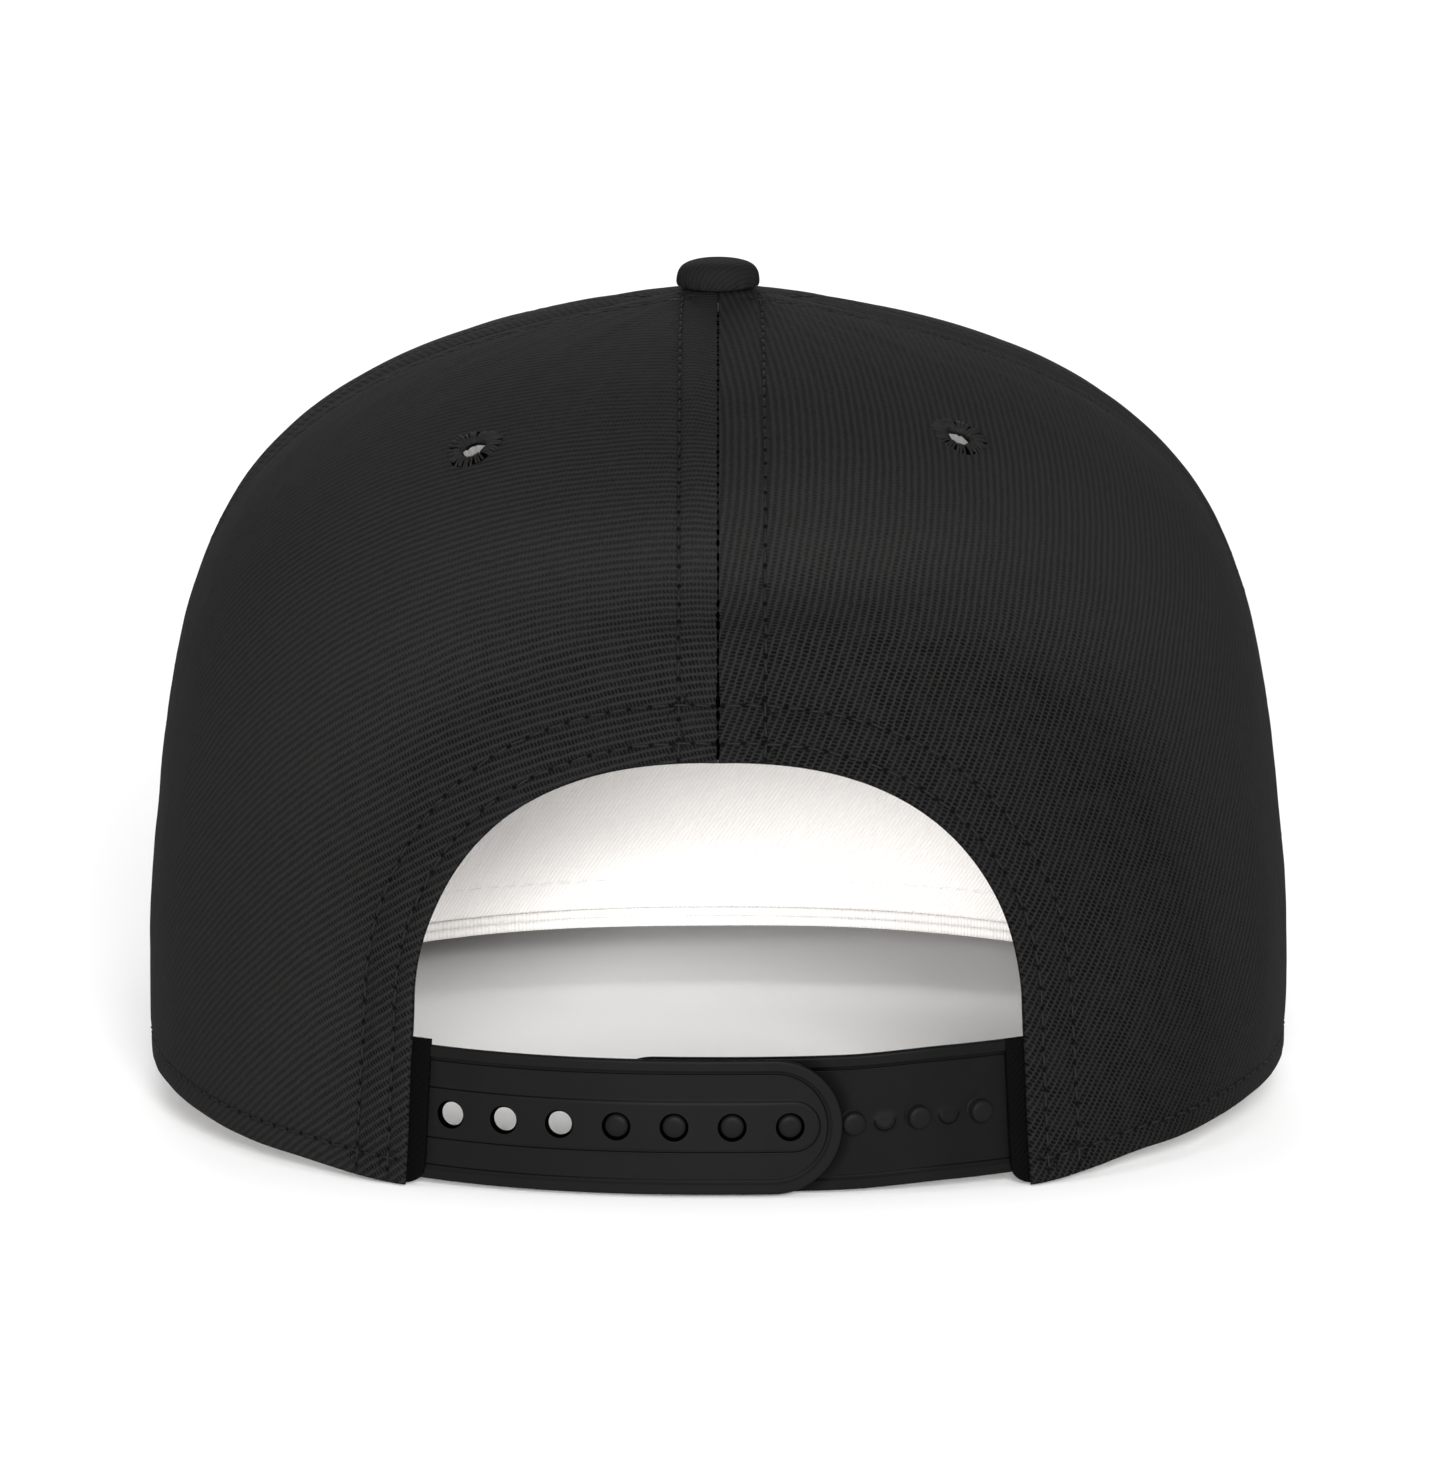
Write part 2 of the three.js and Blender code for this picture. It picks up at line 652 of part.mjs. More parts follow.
addPiece('front_panel', plainPanel(-FRONT_SEAM_ANGLE, FRONT_SEAM_ANGLE, 20), 'cloth');
const side = plainPanel(FRONT_SEAM_ANGLE, SIDE_SEAM_ANGLE, 9);
sewnPanel('side_panel_left', FRONT_SEAM_ANGLE, SIDE_SEAM_ANGLE, side);
const otherSide = plainPanel(-SIDE_SEAM_ANGLE, -FRONT_SEAM_ANGLE, 9);
sewnPanel('side_panel_right', -SIDE_SEAM_ANGLE, -FRONT_SEAM_ANGLE, otherSide);
sewnPanel('back_panel_left', SIDE_SEAM_ANGLE, 180, backPanel(1));
sewnPanel('back_panel_right', -180, -SIDE_SEAM_ANGLE, backPanel(-1));
addPiece('button', button(), 'cloth');
for (const row of EYELETS) {
  addPiece(row.name, eyelet(eyeletSeat(row)), 'thread');
}
addPiece('peak', peak(), 'cloth');
addPiece('sweatband', sweatband(), 'band');
addPiece('strap_holes', holedStrap(), 'plastic');
addPiece('strap_pegs', peggedStrap(), 'plastic');

// Leans the cap until the front half and the back half of it touch the ground together
function settle(group) {
  const lowest = (turn) => {
    const matrix = new THREE.Matrix4().makeRotationX(turn);
    const lows = { front: Infinity, back: Infinity };
    const point = new THREE.Vector3();
    for (const { geometry } of group.children) {
      const { position } = geometry.attributes;
      for (let index = 0; index < position.count; index += 1) {
        const half = point.fromBufferAttribute(position, index).y < 0 ? 'front' : 'back';
        lows[half] = Math.min(lows[half], point.applyMatrix4(matrix).z);
      }
    }
    return lows;
  };
  const limit = degrees(30);
  const lean = closest(0, -limit, limit, (turn) => {
    const { front, back } = lowest(-turn);
    return front - back;
  });
  group.rotation.x = -lean;
  const box = new THREE.Box3().setFromObject(group, true);
  group.position.set(-(box.min.x + box.max.x) / 2, -(box.min.y + box.max.y) / 2, -box.min.z);
}

settle(cap);

const scene = new THREE.Group();
scene.add(cap);

export default scene;
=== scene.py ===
import math

import bmesh
import bpy
import numpy as np
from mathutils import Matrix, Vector
from mathutils.kdtree import KDTree


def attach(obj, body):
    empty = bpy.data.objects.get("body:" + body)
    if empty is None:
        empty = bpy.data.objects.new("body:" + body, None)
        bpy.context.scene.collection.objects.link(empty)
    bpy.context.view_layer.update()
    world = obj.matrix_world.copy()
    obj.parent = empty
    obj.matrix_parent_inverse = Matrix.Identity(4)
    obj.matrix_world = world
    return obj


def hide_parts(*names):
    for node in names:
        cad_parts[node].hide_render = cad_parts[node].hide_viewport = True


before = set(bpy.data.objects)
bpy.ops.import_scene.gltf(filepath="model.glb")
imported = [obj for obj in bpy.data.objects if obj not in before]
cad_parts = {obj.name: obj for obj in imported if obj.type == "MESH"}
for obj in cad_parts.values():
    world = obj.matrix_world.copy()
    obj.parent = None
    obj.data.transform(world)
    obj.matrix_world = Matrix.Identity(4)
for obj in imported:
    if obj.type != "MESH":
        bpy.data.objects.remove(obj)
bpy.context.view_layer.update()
rng = np.random.default_rng(7)

# Lengths are millimetres in the cap's own frame, and MM brings them to metres
MM = 0.001
UP = np.array([0.0, 0.0, 1.0])

# The resting cap leans by this much about X, and its upright axis starts here
LEAN = math.radians(-3.8527)
AXIS_FOOT = np.array([0.0, 32.84, 6.328])

# Crown
CROWN_HEIGHT = 121.0
HALF_WIDTH = 89.4
FRONT_REACH = 94.0
BACK_REACH = 100.0
CLOTH = 1.3
FRONT_SEAM_ANGLE = 50.0
SIDE_SEAM_ANGLE = 91.0
SEAM_DEPTH = 0.7
SEAM_SPREAD = 5.0
SEAMS = (FRONT_SEAM_ANGLE, SIDE_SEAM_ANGLE, 180.0, -SIDE_SEAM_ANGLE, -FRONT_SEAM_ANGLE)
SEAM_SWELL = 0.3
SEAM_SWELL_AWAY = 3.2
SEAM_SWELL_SPREAD = 2.2
SEAM_GAP = 0.03
TOP_RADIUS = 1.2
EYELET_HOLE_RADIUS = 2.75

# Half-moon opening
ARCH_HALF_WIDTH = 45.6
ARCH_FOOT_HALF_WIDTH = 46.8
ARCH_SPRING_HEIGHT = 21.7
ARCH_TOP_HEIGHT = 64.7
ARCH_POWER = 2.37

# Peak
PEAK_ANGLE = 68.0
PEAK_LENGTH = 70.0
PEAK_FLARE = 17.0
PEAK_SHOULDER = 74.0
PEAK_NOSE = 70.0
PEAK_THICKNESS = 3.2
PEAK_DIP_ANGLE = 8.0
PEAK_BOW = 7.0
PEAK_EDGE_LENGTH = 230.0
PEAK_FIRST_ROW = 5.6
PEAK_ROW_PITCH = 6.2
PEAK_ROW_COUNT = 8

# Sweatband and snap strap
BAND_HEIGHT = 32.0
BAND_THICKNESS = 1.1
BAND_RISE = 0.8
BAND_END_MARGIN = 4.0
BAND_EASE_ANGLE = 30.0
BAND_COVER = 0.7
BAND_LENGTH = 490.0
BAND_ROWS = (0.12, 0.93)
GAP = 0.3
STRAP_WIDTH = 20.4
STRAP_THICKNESS = 1.3
STRAP_FOOT = 0.5
STRAP_RIM_WIDTH = 1.8
STRAP_RIM_RISE = 0.5
STRAP_ANCHOR = 12.0
STRAP_PITCH = 8.6
HOLE_DIAMETER = 4.3
PEG_DIAMETER = 3.4
PEG_STANDOUT = 1.6
FIRST_JOINT = -10.7
JOINED_PEGS = 4
FREE_HOLES = 3
FREE_PEGS = 3
FREE_PEG_PITCH = 9.7
HOLED_TIP = FIRST_JOINT - 7.8
LAST_JOINT = FIRST_JOINT + (JOINED_PEGS - 1) * STRAP_PITCH
PEGGED_TIP = LAST_JOINT + 4.6
PEGGED_END_RISE = 0.9
STRAP_EASE_LENGTH = 16.0
CENTRAL_BAND_HALF = 3.85
SCALLOP_RADIUS = 1.6
FIRST_DEPTH = CLOTH + SEAM_DEPTH + GAP
SECOND_DEPTH = FIRST_DEPTH + STRAP_THICKNESS + GAP
STRAP_MIDDLE = STRAP_FOOT + STRAP_WIDTH / 2
PLATE_SHARP_ANGLE = 40
PEG_SHARP_ANGLE = 50
HOLE_PLACES = [FIRST_JOINT + k * STRAP_PITCH for k in range(JOINED_PEGS + FREE_HOLES)]

# Turned-in edge of the cloth beside the opening's foot: its width, how far it shows past the outer
# cloth, the radius of its low corner, and how far inside the crown its two faces lie
FACING_WIDTH = 11.0
FACING_OVERLAP = 2.3
FACING_CORNER = 3.0
FACING_DEPTHS = (1.42, 2.15)

# Button
BUTTON_RADIUS = 6.4
BUTTON_HEIGHT = 4.3
SHANK_RADIUS = 0.9
SHANK_LENGTH = 3.0

# Stitching
STITCH_PITCH = 3.1
STITCH_LENGTH = 2.5
THREAD_RADIUS = 0.17
SEAM_ROW = 6.4
ARCH_ROWS = (3.0, 8.7)
HEM_ROW = 3.8
NEEDLE_HALF_WIDTH = 0.8

# Where a seam's rows start and end in the section table, and how near the upright axis they come
ROW_FOOT = 0.05
ROW_TOP = 10.7
ROW_TOP_RADIUS = 8.0

# How far the hem's row ends from the seams, in degrees, and the opening's rows from middle seam and rim
HEM_MARGIN = 0.4
ARCH_ROW_FROM_SEAM = 0.6
ARCH_ROW_FROM_RIM = 1.5

# How far the white backing stays from the cloth's cut edges and from its seams
BACKING_FROM_EDGE = 2.0
BACKING_FROM_SEAM = 0.6

# Deep in the seams: near-black stitches and cords, painted as the seams' shade; the cords also keep the
# light from coming through
SEAM_STITCH_PITCH = 1.9
SEAM_CORE_DEPTH = 0.6
SEAM_CORE_RADIUS = 0.2
ROOT_CORE_DEPTH = 1.0
ROOT_CORE_RADIUS = 0.36
SEAM_TOP = 0.985 * CROWN_HEIGHT

# How far the cloth's grain turns with the seams, at the rim and at the top
GRAIN_TURN_LOW = 0.2
GRAIN_TURN_HIGH = 1.0

# Steps of the sheets of points: beside a cut edge, and over the cloth at the back, sides and front
EDGE_STEP = 0.15
BACK_STEP = 1.0
SIDE_STEP = 1.15
FRONT_STEP = 1.25

# Length of cloth from the top of the opening's straight sides to the top of the crown
UPPER_BACK_LENGTH = 138.0

# Horizontal sections of the crown: shares of its height, half-width and reaches, and the outline's power
SECTIONS = np.array([
    # height, width, front, back, power
    (0.0, 0.997, 1.0, 1.0, 2.25),
    (0.18, 0.998, 1.0, 0.992, 2.25),
    (0.342, 0.98, 0.988, 0.972, 2.22),
    (0.48, 0.957, 0.962, 0.94, 2.2),
    (0.6, 0.921, 0.918, 0.893, 2.18),
    (0.71, 0.856, 0.852, 0.823, 2.15),
    (0.8, 0.756, 0.725, 0.727, 2.1),
    (0.87, 0.624, 0.575, 0.606, 2.06),
    (0.923, 0.46, 0.415, 0.46, 2.03),
    (0.962, 0.275, 0.245, 0.28, 2.0),
    (0.988, 0.098, 0.088, 0.1, 2.0),
    (1.0, 0.0, 0.0, 0.0, 2.0),
])
HEIGHT, WIDTH, FRONT, BACK, POWER = range(5)

# Lift of the rim as shares of the crown height: degrees from the front, wearer's left, wearer's right
RIM = np.array([
    (0, 0.0, 0.0),
    (60, 0.0, 0.0),
    (90, 0.01, 0.016),
    (118, 0.013, 0.024),
    (138, 0.006, 0.014),
    (152, -0.003, -0.003),
    (180, -0.003, -0.003),
])

# Soft folds: degrees, share of height, half-size round (degrees) and up (share), and depth, which is a
# share of the crown's height
FOLDS = (
    (-168, 0.86, 16, 0.035, 0.009),
    (180, 0.8, 24, 0.04, 0.007),
    (-170, 0.735, 20, 0.035, -0.012),
    (178, 0.665, 26, 0.035, 0.009),
    (180, 0.6, 22, 0.03, -0.008),
    (-152, 0.5, 14, 0.12, -0.008),
    (-118, 0.16, 8, 0.16, 0.009),
    (150, 0.42, 12, 0.1, -0.005),
    (-134, 0.2, 7, 0.16, 0.006),
)

# Small creases across the seams, in the same way, with the depth in millimetres
CREASES = (
    (176, 0.93, 9, 0.012, 0.25),
    (-175, 0.9, 8, 0.012, -0.3),
    (-176, 0.83, 9, 0.014, 0.3),
    (175, 0.7, 9, 0.012, -0.25),
    (-174, 0.68, 7, 0.012, 0.3),
    (-175, 0.63, 8, 0.01, -0.3),
    (174, 0.59, 9, 0.011, 0.25),
    (-176, 0.575, 7, 0.008, 0.25),
    (152, 0.3, 3, 0.05, 0.3),
    (147, 0.22, 2.4, 0.09, -0.35),
    (-147, 0.24, 2.6, 0.1, -0.45),
    (-150, 0.34, 3.5, 0.06, 0.35),
    (128, 0.5, 10, 0.03, 0.3),
    (-130, 0.62, 9, 0.03, -0.3),
    (110, 0.3, 9, 0.04, 0.3),
    (-112, 0.5, 9, 0.04, 0.35),
    (70, 0.5, 10, 0.04, 0.3),
    (-72, 0.45, 11, 0.04, -0.3),
    (20, 0.86, 14, 0.03, 0.3),
    (-24, 0.9, 12, 0.02, -0.25),
)

# Eyelets: name, degrees from the front, share of the crown height
EYELETS = (
    ("eyelet_side_left", 66.0, 0.75),
    ("eyelet_side_right", -66.0, 0.75),
    ("eyelet_back_left", 143.5, 0.858),
    ("eyelet_back_right", -142.5, 0.868),
)


def smooth(value):
    value = np.clip(value, 0.0, 1.0)
    return value * value * (3.0 - 2.0 * value)


def bell(value):
    return np.exp(-value * value)


def mix(a, b, share):
    return a + (b - a) * share


def unit(vectors):
    return vectors / np.maximum(np.linalg.norm(vectors, axis=-1, keepdims=True), 1e-9)


def to_row(points):
    """Points of the cap's own frame in millimetres, in the shared frame in metres."""
    points = np.asarray(points, float)
    cos, sin = math.cos(LEAN), math.sin(LEAN)
    x, y, z = points[..., 0], points[..., 1], points[..., 2]
    turned = np.stack([x, y * cos - z * sin, y * sin + z * cos], -1)
    return (turned + AXIS_FOOT) * MM


def section(place, column):
    """A column of the section table at a place between its rows, by a Catmull-Rom curve."""
    last = len(SECTIONS) - 1
    row = np.clip(np.floor(place).astype(int), 0, last - 1)
    share = place - row

    def at(index):
        return SECTIONS[np.clip(index, 0, last), column]

    before = (at(row + 1) - at(row - 1)) / 2
    after = (at(row + 2) - at(row)) / 2
    squared = share * share
    cubed = squared * share
    return (
        (2 * cubed - 3 * squared + 1) * at(row)
        + (cubed - 2 * squared + share) * before
        + (3 * squared - 2 * cubed) * at(row + 1)
        + (cubed - squared) * after
    )


PLACES = np.linspace(0, len(SECTIONS) - 1, 6001)
HEIGHTS = section(PLACES, HEIGHT)


def place_at_height(share):
    return np.interp(share, HEIGHTS, PLACES)


def rim_lift(angle):
    turn = np.abs(angle)
    after = np.clip(np.searchsorted(RIM[:, 0], turn), 1, len(RIM) - 1)
    low, high = RIM[after - 1], RIM[after]
    share = smooth((turn - low[..., 0]) / (high[..., 0] - low[..., 0]))
    side = np.where(angle > 0, 1, 2)
    start = np.where(side == 1, low[..., 1], low[..., 2])
    end = np.where(side == 1, high[..., 1], high[..., 2])
    return CROWN_HEIGHT * mix(start, end, share)


def radius(angle, place):
    """Distance from the upright axis to the crown's plain outer face."""
    turn = np.radians(angle)
    power = section(place, POWER)
    front = FRONT_REACH * section(place, FRONT)
    back = BACK_REACH * section(place, BACK)
    reach = np.maximum(np.where(np.cos(turn) > 0, front, back), 1e-6)
    width = np.maximum(HALF_WIDTH * section(place, WIDTH), 1e-6)
    across = np.abs(np.sin(turn) / width) ** power
    along = np.abs(np.cos(turn) / reach) ** power
    return (across + along) ** (-1 / power)


def plain_point(angle, place):
    share = section(place, HEIGHT)
    turn = np.radians(angle)
    distance = radius(angle, place)
    height = CROWN_HEIGHT * share + rim_lift(angle) * (1 - share) ** 2
    return np.stack([distance * np.sin(turn), -distance * np.cos(turn), height], -1)


def normal_at(angle, place):
    low = np.maximum(place - 0.02, 0)
    around = plain_point(angle + 0.5, place) - plain_point(angle - 0.5, place)
    up = plain_point(angle, place + 0.02) - plain_point(angle, low)
    return unit(np.cross(around, up))


def turn_between(a, b):
    return np.abs((a - b + 540.0) % 360.0 - 180.0)


def seam_distance(angle, place):
    distance = radius(angle, place)
    away = [np.radians(turn_between(angle, seam)) * distance for seam in SEAMS]
    return np.min(away, axis=0)


def folded(angle, place, folds):
    """How far some folds or creases move the cloth out, in the unit of their depths."""
    share = section(place, HEIGHT)
    out = np.zeros(np.broadcast(angle, place).shape)
    for turn, height, around, up, depth in folds:
        out = out + depth * bell(turn_between(angle, turn) / around) * bell((share - height) / up)
    return out


def relief(angle, place):
    """How far folds and seams move the cloth out of the plain crown."""
    out = CROWN_HEIGHT * folded(angle, place, FOLDS) + folded(angle, place, CREASES)
    nearest = seam_distance(angle, place)
    fade = np.minimum(1.0, radius(angle, place) / (4 * SEAM_SPREAD))
    swell = SEAM_SWELL * bell((nearest - SEAM_SWELL_AWAY) / SEAM_SWELL_SPREAD) * fade
    return out + swell - SEAM_DEPTH * fade * bell(nearest / SEAM_SPREAD)


def ripple(angle, place):
    """Uneven cloth between the folds."""
    share = section(place, HEIGHT)
    around = np.radians(angle)
    waves = 0.07 * np.sin(9 * around + 14 * share + 0.6) * np.sin(23 * share - 5 * around)
    waves += 0.05 * np.sin(31 * around - 17 * share) * np.sin(37 * share + 2.0 + 6 * around)
    waves += 0.025 * np.sin(67 * around + 29 * share + 1.1) * np.sin(71 * share - 13 * around)
    return waves * smooth(radius(angle, place) / 25)


def crown_point(angle, place, depth=0.0):
    angle = np.asarray(angle, float)
    place = np.asarray(place, float)
    out = relief(angle, place) + ripple(angle, place) - depth
    return plain_point(angle, place) + normal_at(angle, place) * out[..., None]


def wall_point(angle, depth, height):
    """A point a given depth inside the rim, at a height above it, on an upright wall without folds."""
    angle = np.asarray(angle, float)
    height = np.broadcast_to(np.asarray(height, float), angle.shape)
    zero = np.zeros(angle.shape)
    low = plain_point(angle, zero)
    outward = normal_at(angle, zero)
    outward[..., 2] = 0
    outward = unit(outward)
    place = place_at_height(height / CROWN_HEIGHT)
    lean = np.maximum(radius(angle, zero) - radius(angle, place), 0)
    point = low - outward * (np.asarray(depth) + lean)[..., None]
    point[..., 2] = low[..., 2] + height
    return point


def angle_at_x(x, place):
    """Angle at the back, from 90 to 180 degrees, where the plain crown is this far from its middle."""
    low = np.full(np.broadcast(x, place).shape, 90.0)
    high = np.full(low.shape, 180.0)
    for _ in range(40):
        middle = (low + high) / 2
        outside = radius(middle, place) * np.sin(np.radians(middle)) > x
        low = np.where(outside, middle, low)
        high = np.where(outside, high, middle)
    return (low + high) / 2


def graded(length, coarse, start, end):
    """Shares from 0 to 1 of a length, closer together near its ends."""
    growth = 1.3

    def ramp(step):
        steps = []
        while step < coarse:
            steps.append(step)
            step *= growth
        return steps

    head, tail = ramp(start), ramp(end)[::-1]
    count = max(int(round((length - sum(head) - sum(tail)) / coarse)), 4)
    steps = head + [coarse] * count + tail
    places = np.concatenate([[0.0], np.cumsum(steps)])
    return places / places[-1]


def lengths_along(points):
    """Length of a line up to each of its points."""
    return np.concatenate([[0.0], np.cumsum(np.linalg.norm(np.diff(points, axis=0), axis=1))])


def directions(points):
    return unit(np.gradient(points, axis=0))


def along_line(points, lengths, at):
    """Points at lengths along a line."""
    return np.stack([np.interp(at, lengths, column) for column in points.T], -1)


def even_line(points, step):
    lengths = lengths_along(points)
    count = max(int(round(lengths[-1] / step)), 2)
    return along_line(points, lengths, np.linspace(0, lengths[-1], count + 1))


def arc_place(angle, low, high, shares):
    """Places between two places of the section table at shares of the way up the cloth, and its length."""
    steps = np.linspace(low, high, 400)
    lengths = lengths_along(plain_point(angle, steps))
    return np.interp(shares * lengths[-1], lengths, steps), lengths[-1]


TOP_STEPS = np.linspace(0, len(SECTIONS) - 1.001, 2000)
TOP_PLACE = float(np.interp(-TOP_RADIUS, -radius(90.0, TOP_STEPS), TOP_STEPS))


def new_object(name, data, *materials):
    thing = bpy.data.objects.new(name, data)
    bpy.context.scene.collection.objects.link(thing)
    for material in materials:
        data.materials.append(material)
    return thing


def mesh_of(name, points, faces, **maps):
    """A smooth mesh in the shared frame. Maps give its vertices pairs for a UV map, or numbers."""
    mesh = bpy.data.meshes.new(name)
    mesh.from_pydata(to_row(points).tolist(), [], faces)
    mesh.polygons.foreach_set("use_smooth", [True] * len(mesh.polygons))
    mesh.update()
    loops = np.empty(len(mesh.loops), int)
    mesh.loops.foreach_get("vertex_index", loops)
    for key, values in maps.items():
        if values.ndim == 2:
            mesh.uv_layers.new(name=key).data.foreach_set("uv", values[loops].ravel())
        else:
            mesh.attributes.new(name=key, type="FLOAT", domain="POINT").data.foreach_set("value", values)
    return mesh


def both(values):
    """The same values for the outer and the inner sheet of a body."""
    return np.concatenate([values, values])


def every_cell(grid):
    return np.ones((grid.shape[0] - 1, grid.shape[1] - 1), bool)


def shell_faces(present):
    """Faces of a closed body between two sheets of points, where only some cells may be present.

    The outer sheet's faces come first and the inner sheet's last, and the second value counts each."""
    rows, columns = present.shape
    index = np.arange((rows + 1) * (columns + 1)).reshape(rows + 1, columns + 1)
    layer = index.size
    a, b = index[:-1, :-1], index[:-1, 1:]
    c, d = index[1:, 1:], index[1:, :-1]
    outer = np.stack([a, b, c, d], -1)[present]
    inner = np.stack([d, c, b, a], -1)[present] + layer
    padded = np.zeros((rows + 2, columns + 2), bool)
    padded[1:-1, 1:-1] = present
    walls = []
    sides = (
        (padded[:-2, 1:-1], a, b),
        (padded[1:-1, 2:], b, c),
        (padded[2:, 1:-1], c, d),
        (padded[1:-1, :-2], d, a),
    )
    for beyond, start, end in sides:
        open_side = present & ~beyond
        s, e = start[open_side], end[open_side]
        walls.append(np.stack([e, s, s + layer, e + layer], -1))
    return np.concatenate([outer] + walls + [inner]), len(outer)


def round_turns(sides):
    return np.linspace(0, 2 * math.pi, sides, endpoint=False)


def ring_of(turn, side, over):
    """Directions at turns about an axis, or about each point of a line, from two that cross it."""
    return side[..., None, :] * np.cos(turn)[:, None] + over[..., None, :] * np.sin(turn)[:, None]


def ring_faces(rings, sides, flipped=False, closed=False):
    """Faces of a body made of rings of points, which is capped at both ends or closed on itself."""
    faces = []
    for k in range(rings if closed else rings - 1):
        low, high = k * sides, (k + 1) % rings * sides
        for j in range(sides):
            after = (j + 1) % sides
            faces.append((low + j, low + after, high + after, high + j))
    if not closed:
        last = (rings - 1) * sides
        faces.append(tuple(range(sides - 1, -1, -1)))
        faces.append(tuple(range(last, last + sides)))
    if flipped:
        faces = [face[:1] + face[:0:-1] for face in faces]
    return faces


def joined(parts):
    """Points and faces of several bodies as one."""
    points, faces, count = [], [], 0
    for some, loops in parts:
        points.append(some)
        faces.extend([tuple(v + count for v in loop) for loop in loops])
        count += len(some)
    return np.concatenate(points), faces


def tube(core, girth, sides=6):
    """A closed round thread through some points."""
    side = unit(np.cross(directions(core), np.array([0.3, 0.2, 0.9])))
    over = np.cross(side, directions(core))
    scale = np.full(len(core), girth)
    scale[0] = scale[-1] = 0.6 * girth
    ring = ring_of(round_turns(sides), side, over)
    points = (core[:, None] + ring * scale[:, None, None]).reshape(-1, 3)
    return points, ring_faces(len(core), sides, flipped=True)


def tree_of(points):
    tree = KDTree(len(points))
    for number, point in enumerate(points):
        tree.insert(point, number)
    tree.balance()
    return tree


def border_tree(lines):
    """Every point of some lines, filled in closely, for finding the nearest."""
    filled = []
    for line in lines:
        for a, b in zip(line[:-1], line[1:]):
            count = max(int(np.linalg.norm(b - a) / 0.15), 1)
            filled.append(a + (b - a) * (np.arange(count) / count)[:, None])
        filled.append(line[-1:])
    return tree_of(np.concatenate(filled))


def border_distance(points, borders):
    tree = border_tree(borders)
    return np.array([tree.find(point)[2] for point in points])


def rounded(away, thickness, reach=0.55, depth=0.93):
    """Share of the way to the cloth's middle at which points this far from a border lie on a round edge."""
    inside = np.clip(1 - away / (reach * thickness), 0, 1)
    return depth * (1 - np.sqrt(1 - inside**2))


class Rows:
    """The rows of stitches on one piece of cloth."""

    reach = 2.4
    full_reach = 1.3
    far = 9.0

    # Along a stitch: shares of its length, millimetres out of the cloth, and shares of its girth
    stations = np.array([-0.5, -0.44, -0.3, 0.0, 0.3, 0.44, 0.5])
    lift = np.array([-0.44, -0.28, -0.14, -0.1, -0.14, -0.28, -0.44])
    taper = np.array([0.5, 0.85, 1.0, 1.06, 1.0, 0.85, 0.5])

    def __init__(self):
        self.points = []
        self.normals = []
        self.along = []
        self.tangents = []
        self.lines = []

    def add(self, points, normals, pitch=STITCH_PITCH, stitch=STITCH_LENGTH, girth=1.0, uneven=1.0):
        even = even_line(points, 0.25)
        nearest = tree_of(points)
        normals = unit(np.asarray(normals)[[nearest.find(point)[1] for point in even]])
        lengths = lengths_along(even)
        pitch = lengths[-1] / max(round(lengths[-1] / pitch), 1)
        self.points.extend(even)
        self.normals.extend(normals)
        self.tangents.extend(directions(even))
        self.along.extend(lengths / pitch)
        self.lines.append((even, normals, lengths, pitch, stitch, girth, uneven))

    def measure(self, points):
        """Signed distance from the nearest row, stitches along it, and nearness, for each point."""
        distance = np.full(len(points), self.far)
        along = np.zeros(len(points))
        near = np.zeros(len(points))
        tree = tree_of(self.points)
        for number, point in enumerate(points):
            _, pick, away = tree.find(point)
            if away > self.reach:
                continue
            step = point - self.points[pick]
            side = np.cross(self.normals[pick], self.tangents[pick])
            ahead = float(step @ self.tangents[pick])
            distance[number] = float(step @ side)
            along[number] = self.along[pick] + ahead / STITCH_PITCH
            near[number] = 1.0 - smooth((away - self.full_reach) / (self.reach - self.full_reach))
        return distance, along, near

    def threads(self):
        """Points and faces of every stitch, as short threads that dip into the cloth at both ends."""
        sides = 6
        turn = round_turns(sides)
        faces = ring_faces(len(self.stations), sides)
        parts = []
        for line, normals, lengths, pitch, stitch, girth, uneven in self.lines:
            for number in range(int(round(lengths[-1] / pitch))):
                middle = (number + 0.5) * pitch + rng.normal(0, 0.06 * uneven)
                spread = rng.uniform(1 - 0.08 * uneven, 1 + 0.06 * uneven)
                thick = THREAD_RADIUS * girth * rng.uniform(1 - 0.08 * uneven, 1 + 0.04 * uneven)
                at = np.clip(middle + self.stations * stitch * spread, 0, lengths[-1])
                core = along_line(line, lengths, at)
                normal = normals[np.clip(np.searchsorted(lengths, at), 0, len(normals) - 1)]
                side = unit(np.cross(normal, unit(core[-1] - core[0])))
                slant = self.stations * rng.normal(0, 0.16)
                core = core + normal * self.lift[:, None] + side * slant[:, None]
                ring = ring_of(turn, side * 1.15, normal * 0.9)
                rings = core[:, None] + ring * (thick * self.taper)[:, None, None]
                parts.append((rings.reshape(-1, 3), faces))
        return joined(parts)


def turned(across, along, degrees):
    """Places on flat cloth, turned so that the twill's ribs run at an angle."""
    turn = math.radians(degrees)
    cos, sin = math.cos(turn), math.sin(turn)
    return np.stack([across * cos - along * sin, across * sin + along * cos], -1)


def weave_map(angle, place, middle, rib_angle):
    """Millimetres across and along the twill's ribs, on a panel's cloth laid flat about its middle line."""
    angle, place = angle.ravel(), place.ravel()
    steps = np.linspace(0, TOP_PLACE, 500)
    up = np.interp(place, steps, lengths_along(plain_point(middle, steps)))
    turn_share = mix(GRAIN_TURN_LOW, GRAIN_TURN_HIGH, section(place, HEIGHT))
    turn = np.radians(angle - middle) * turn_share
    bend = radius(angle, place) / turn_share
    return turned(bend * np.sin(turn), up + bend * (1 - np.cos(turn)), rib_angle)


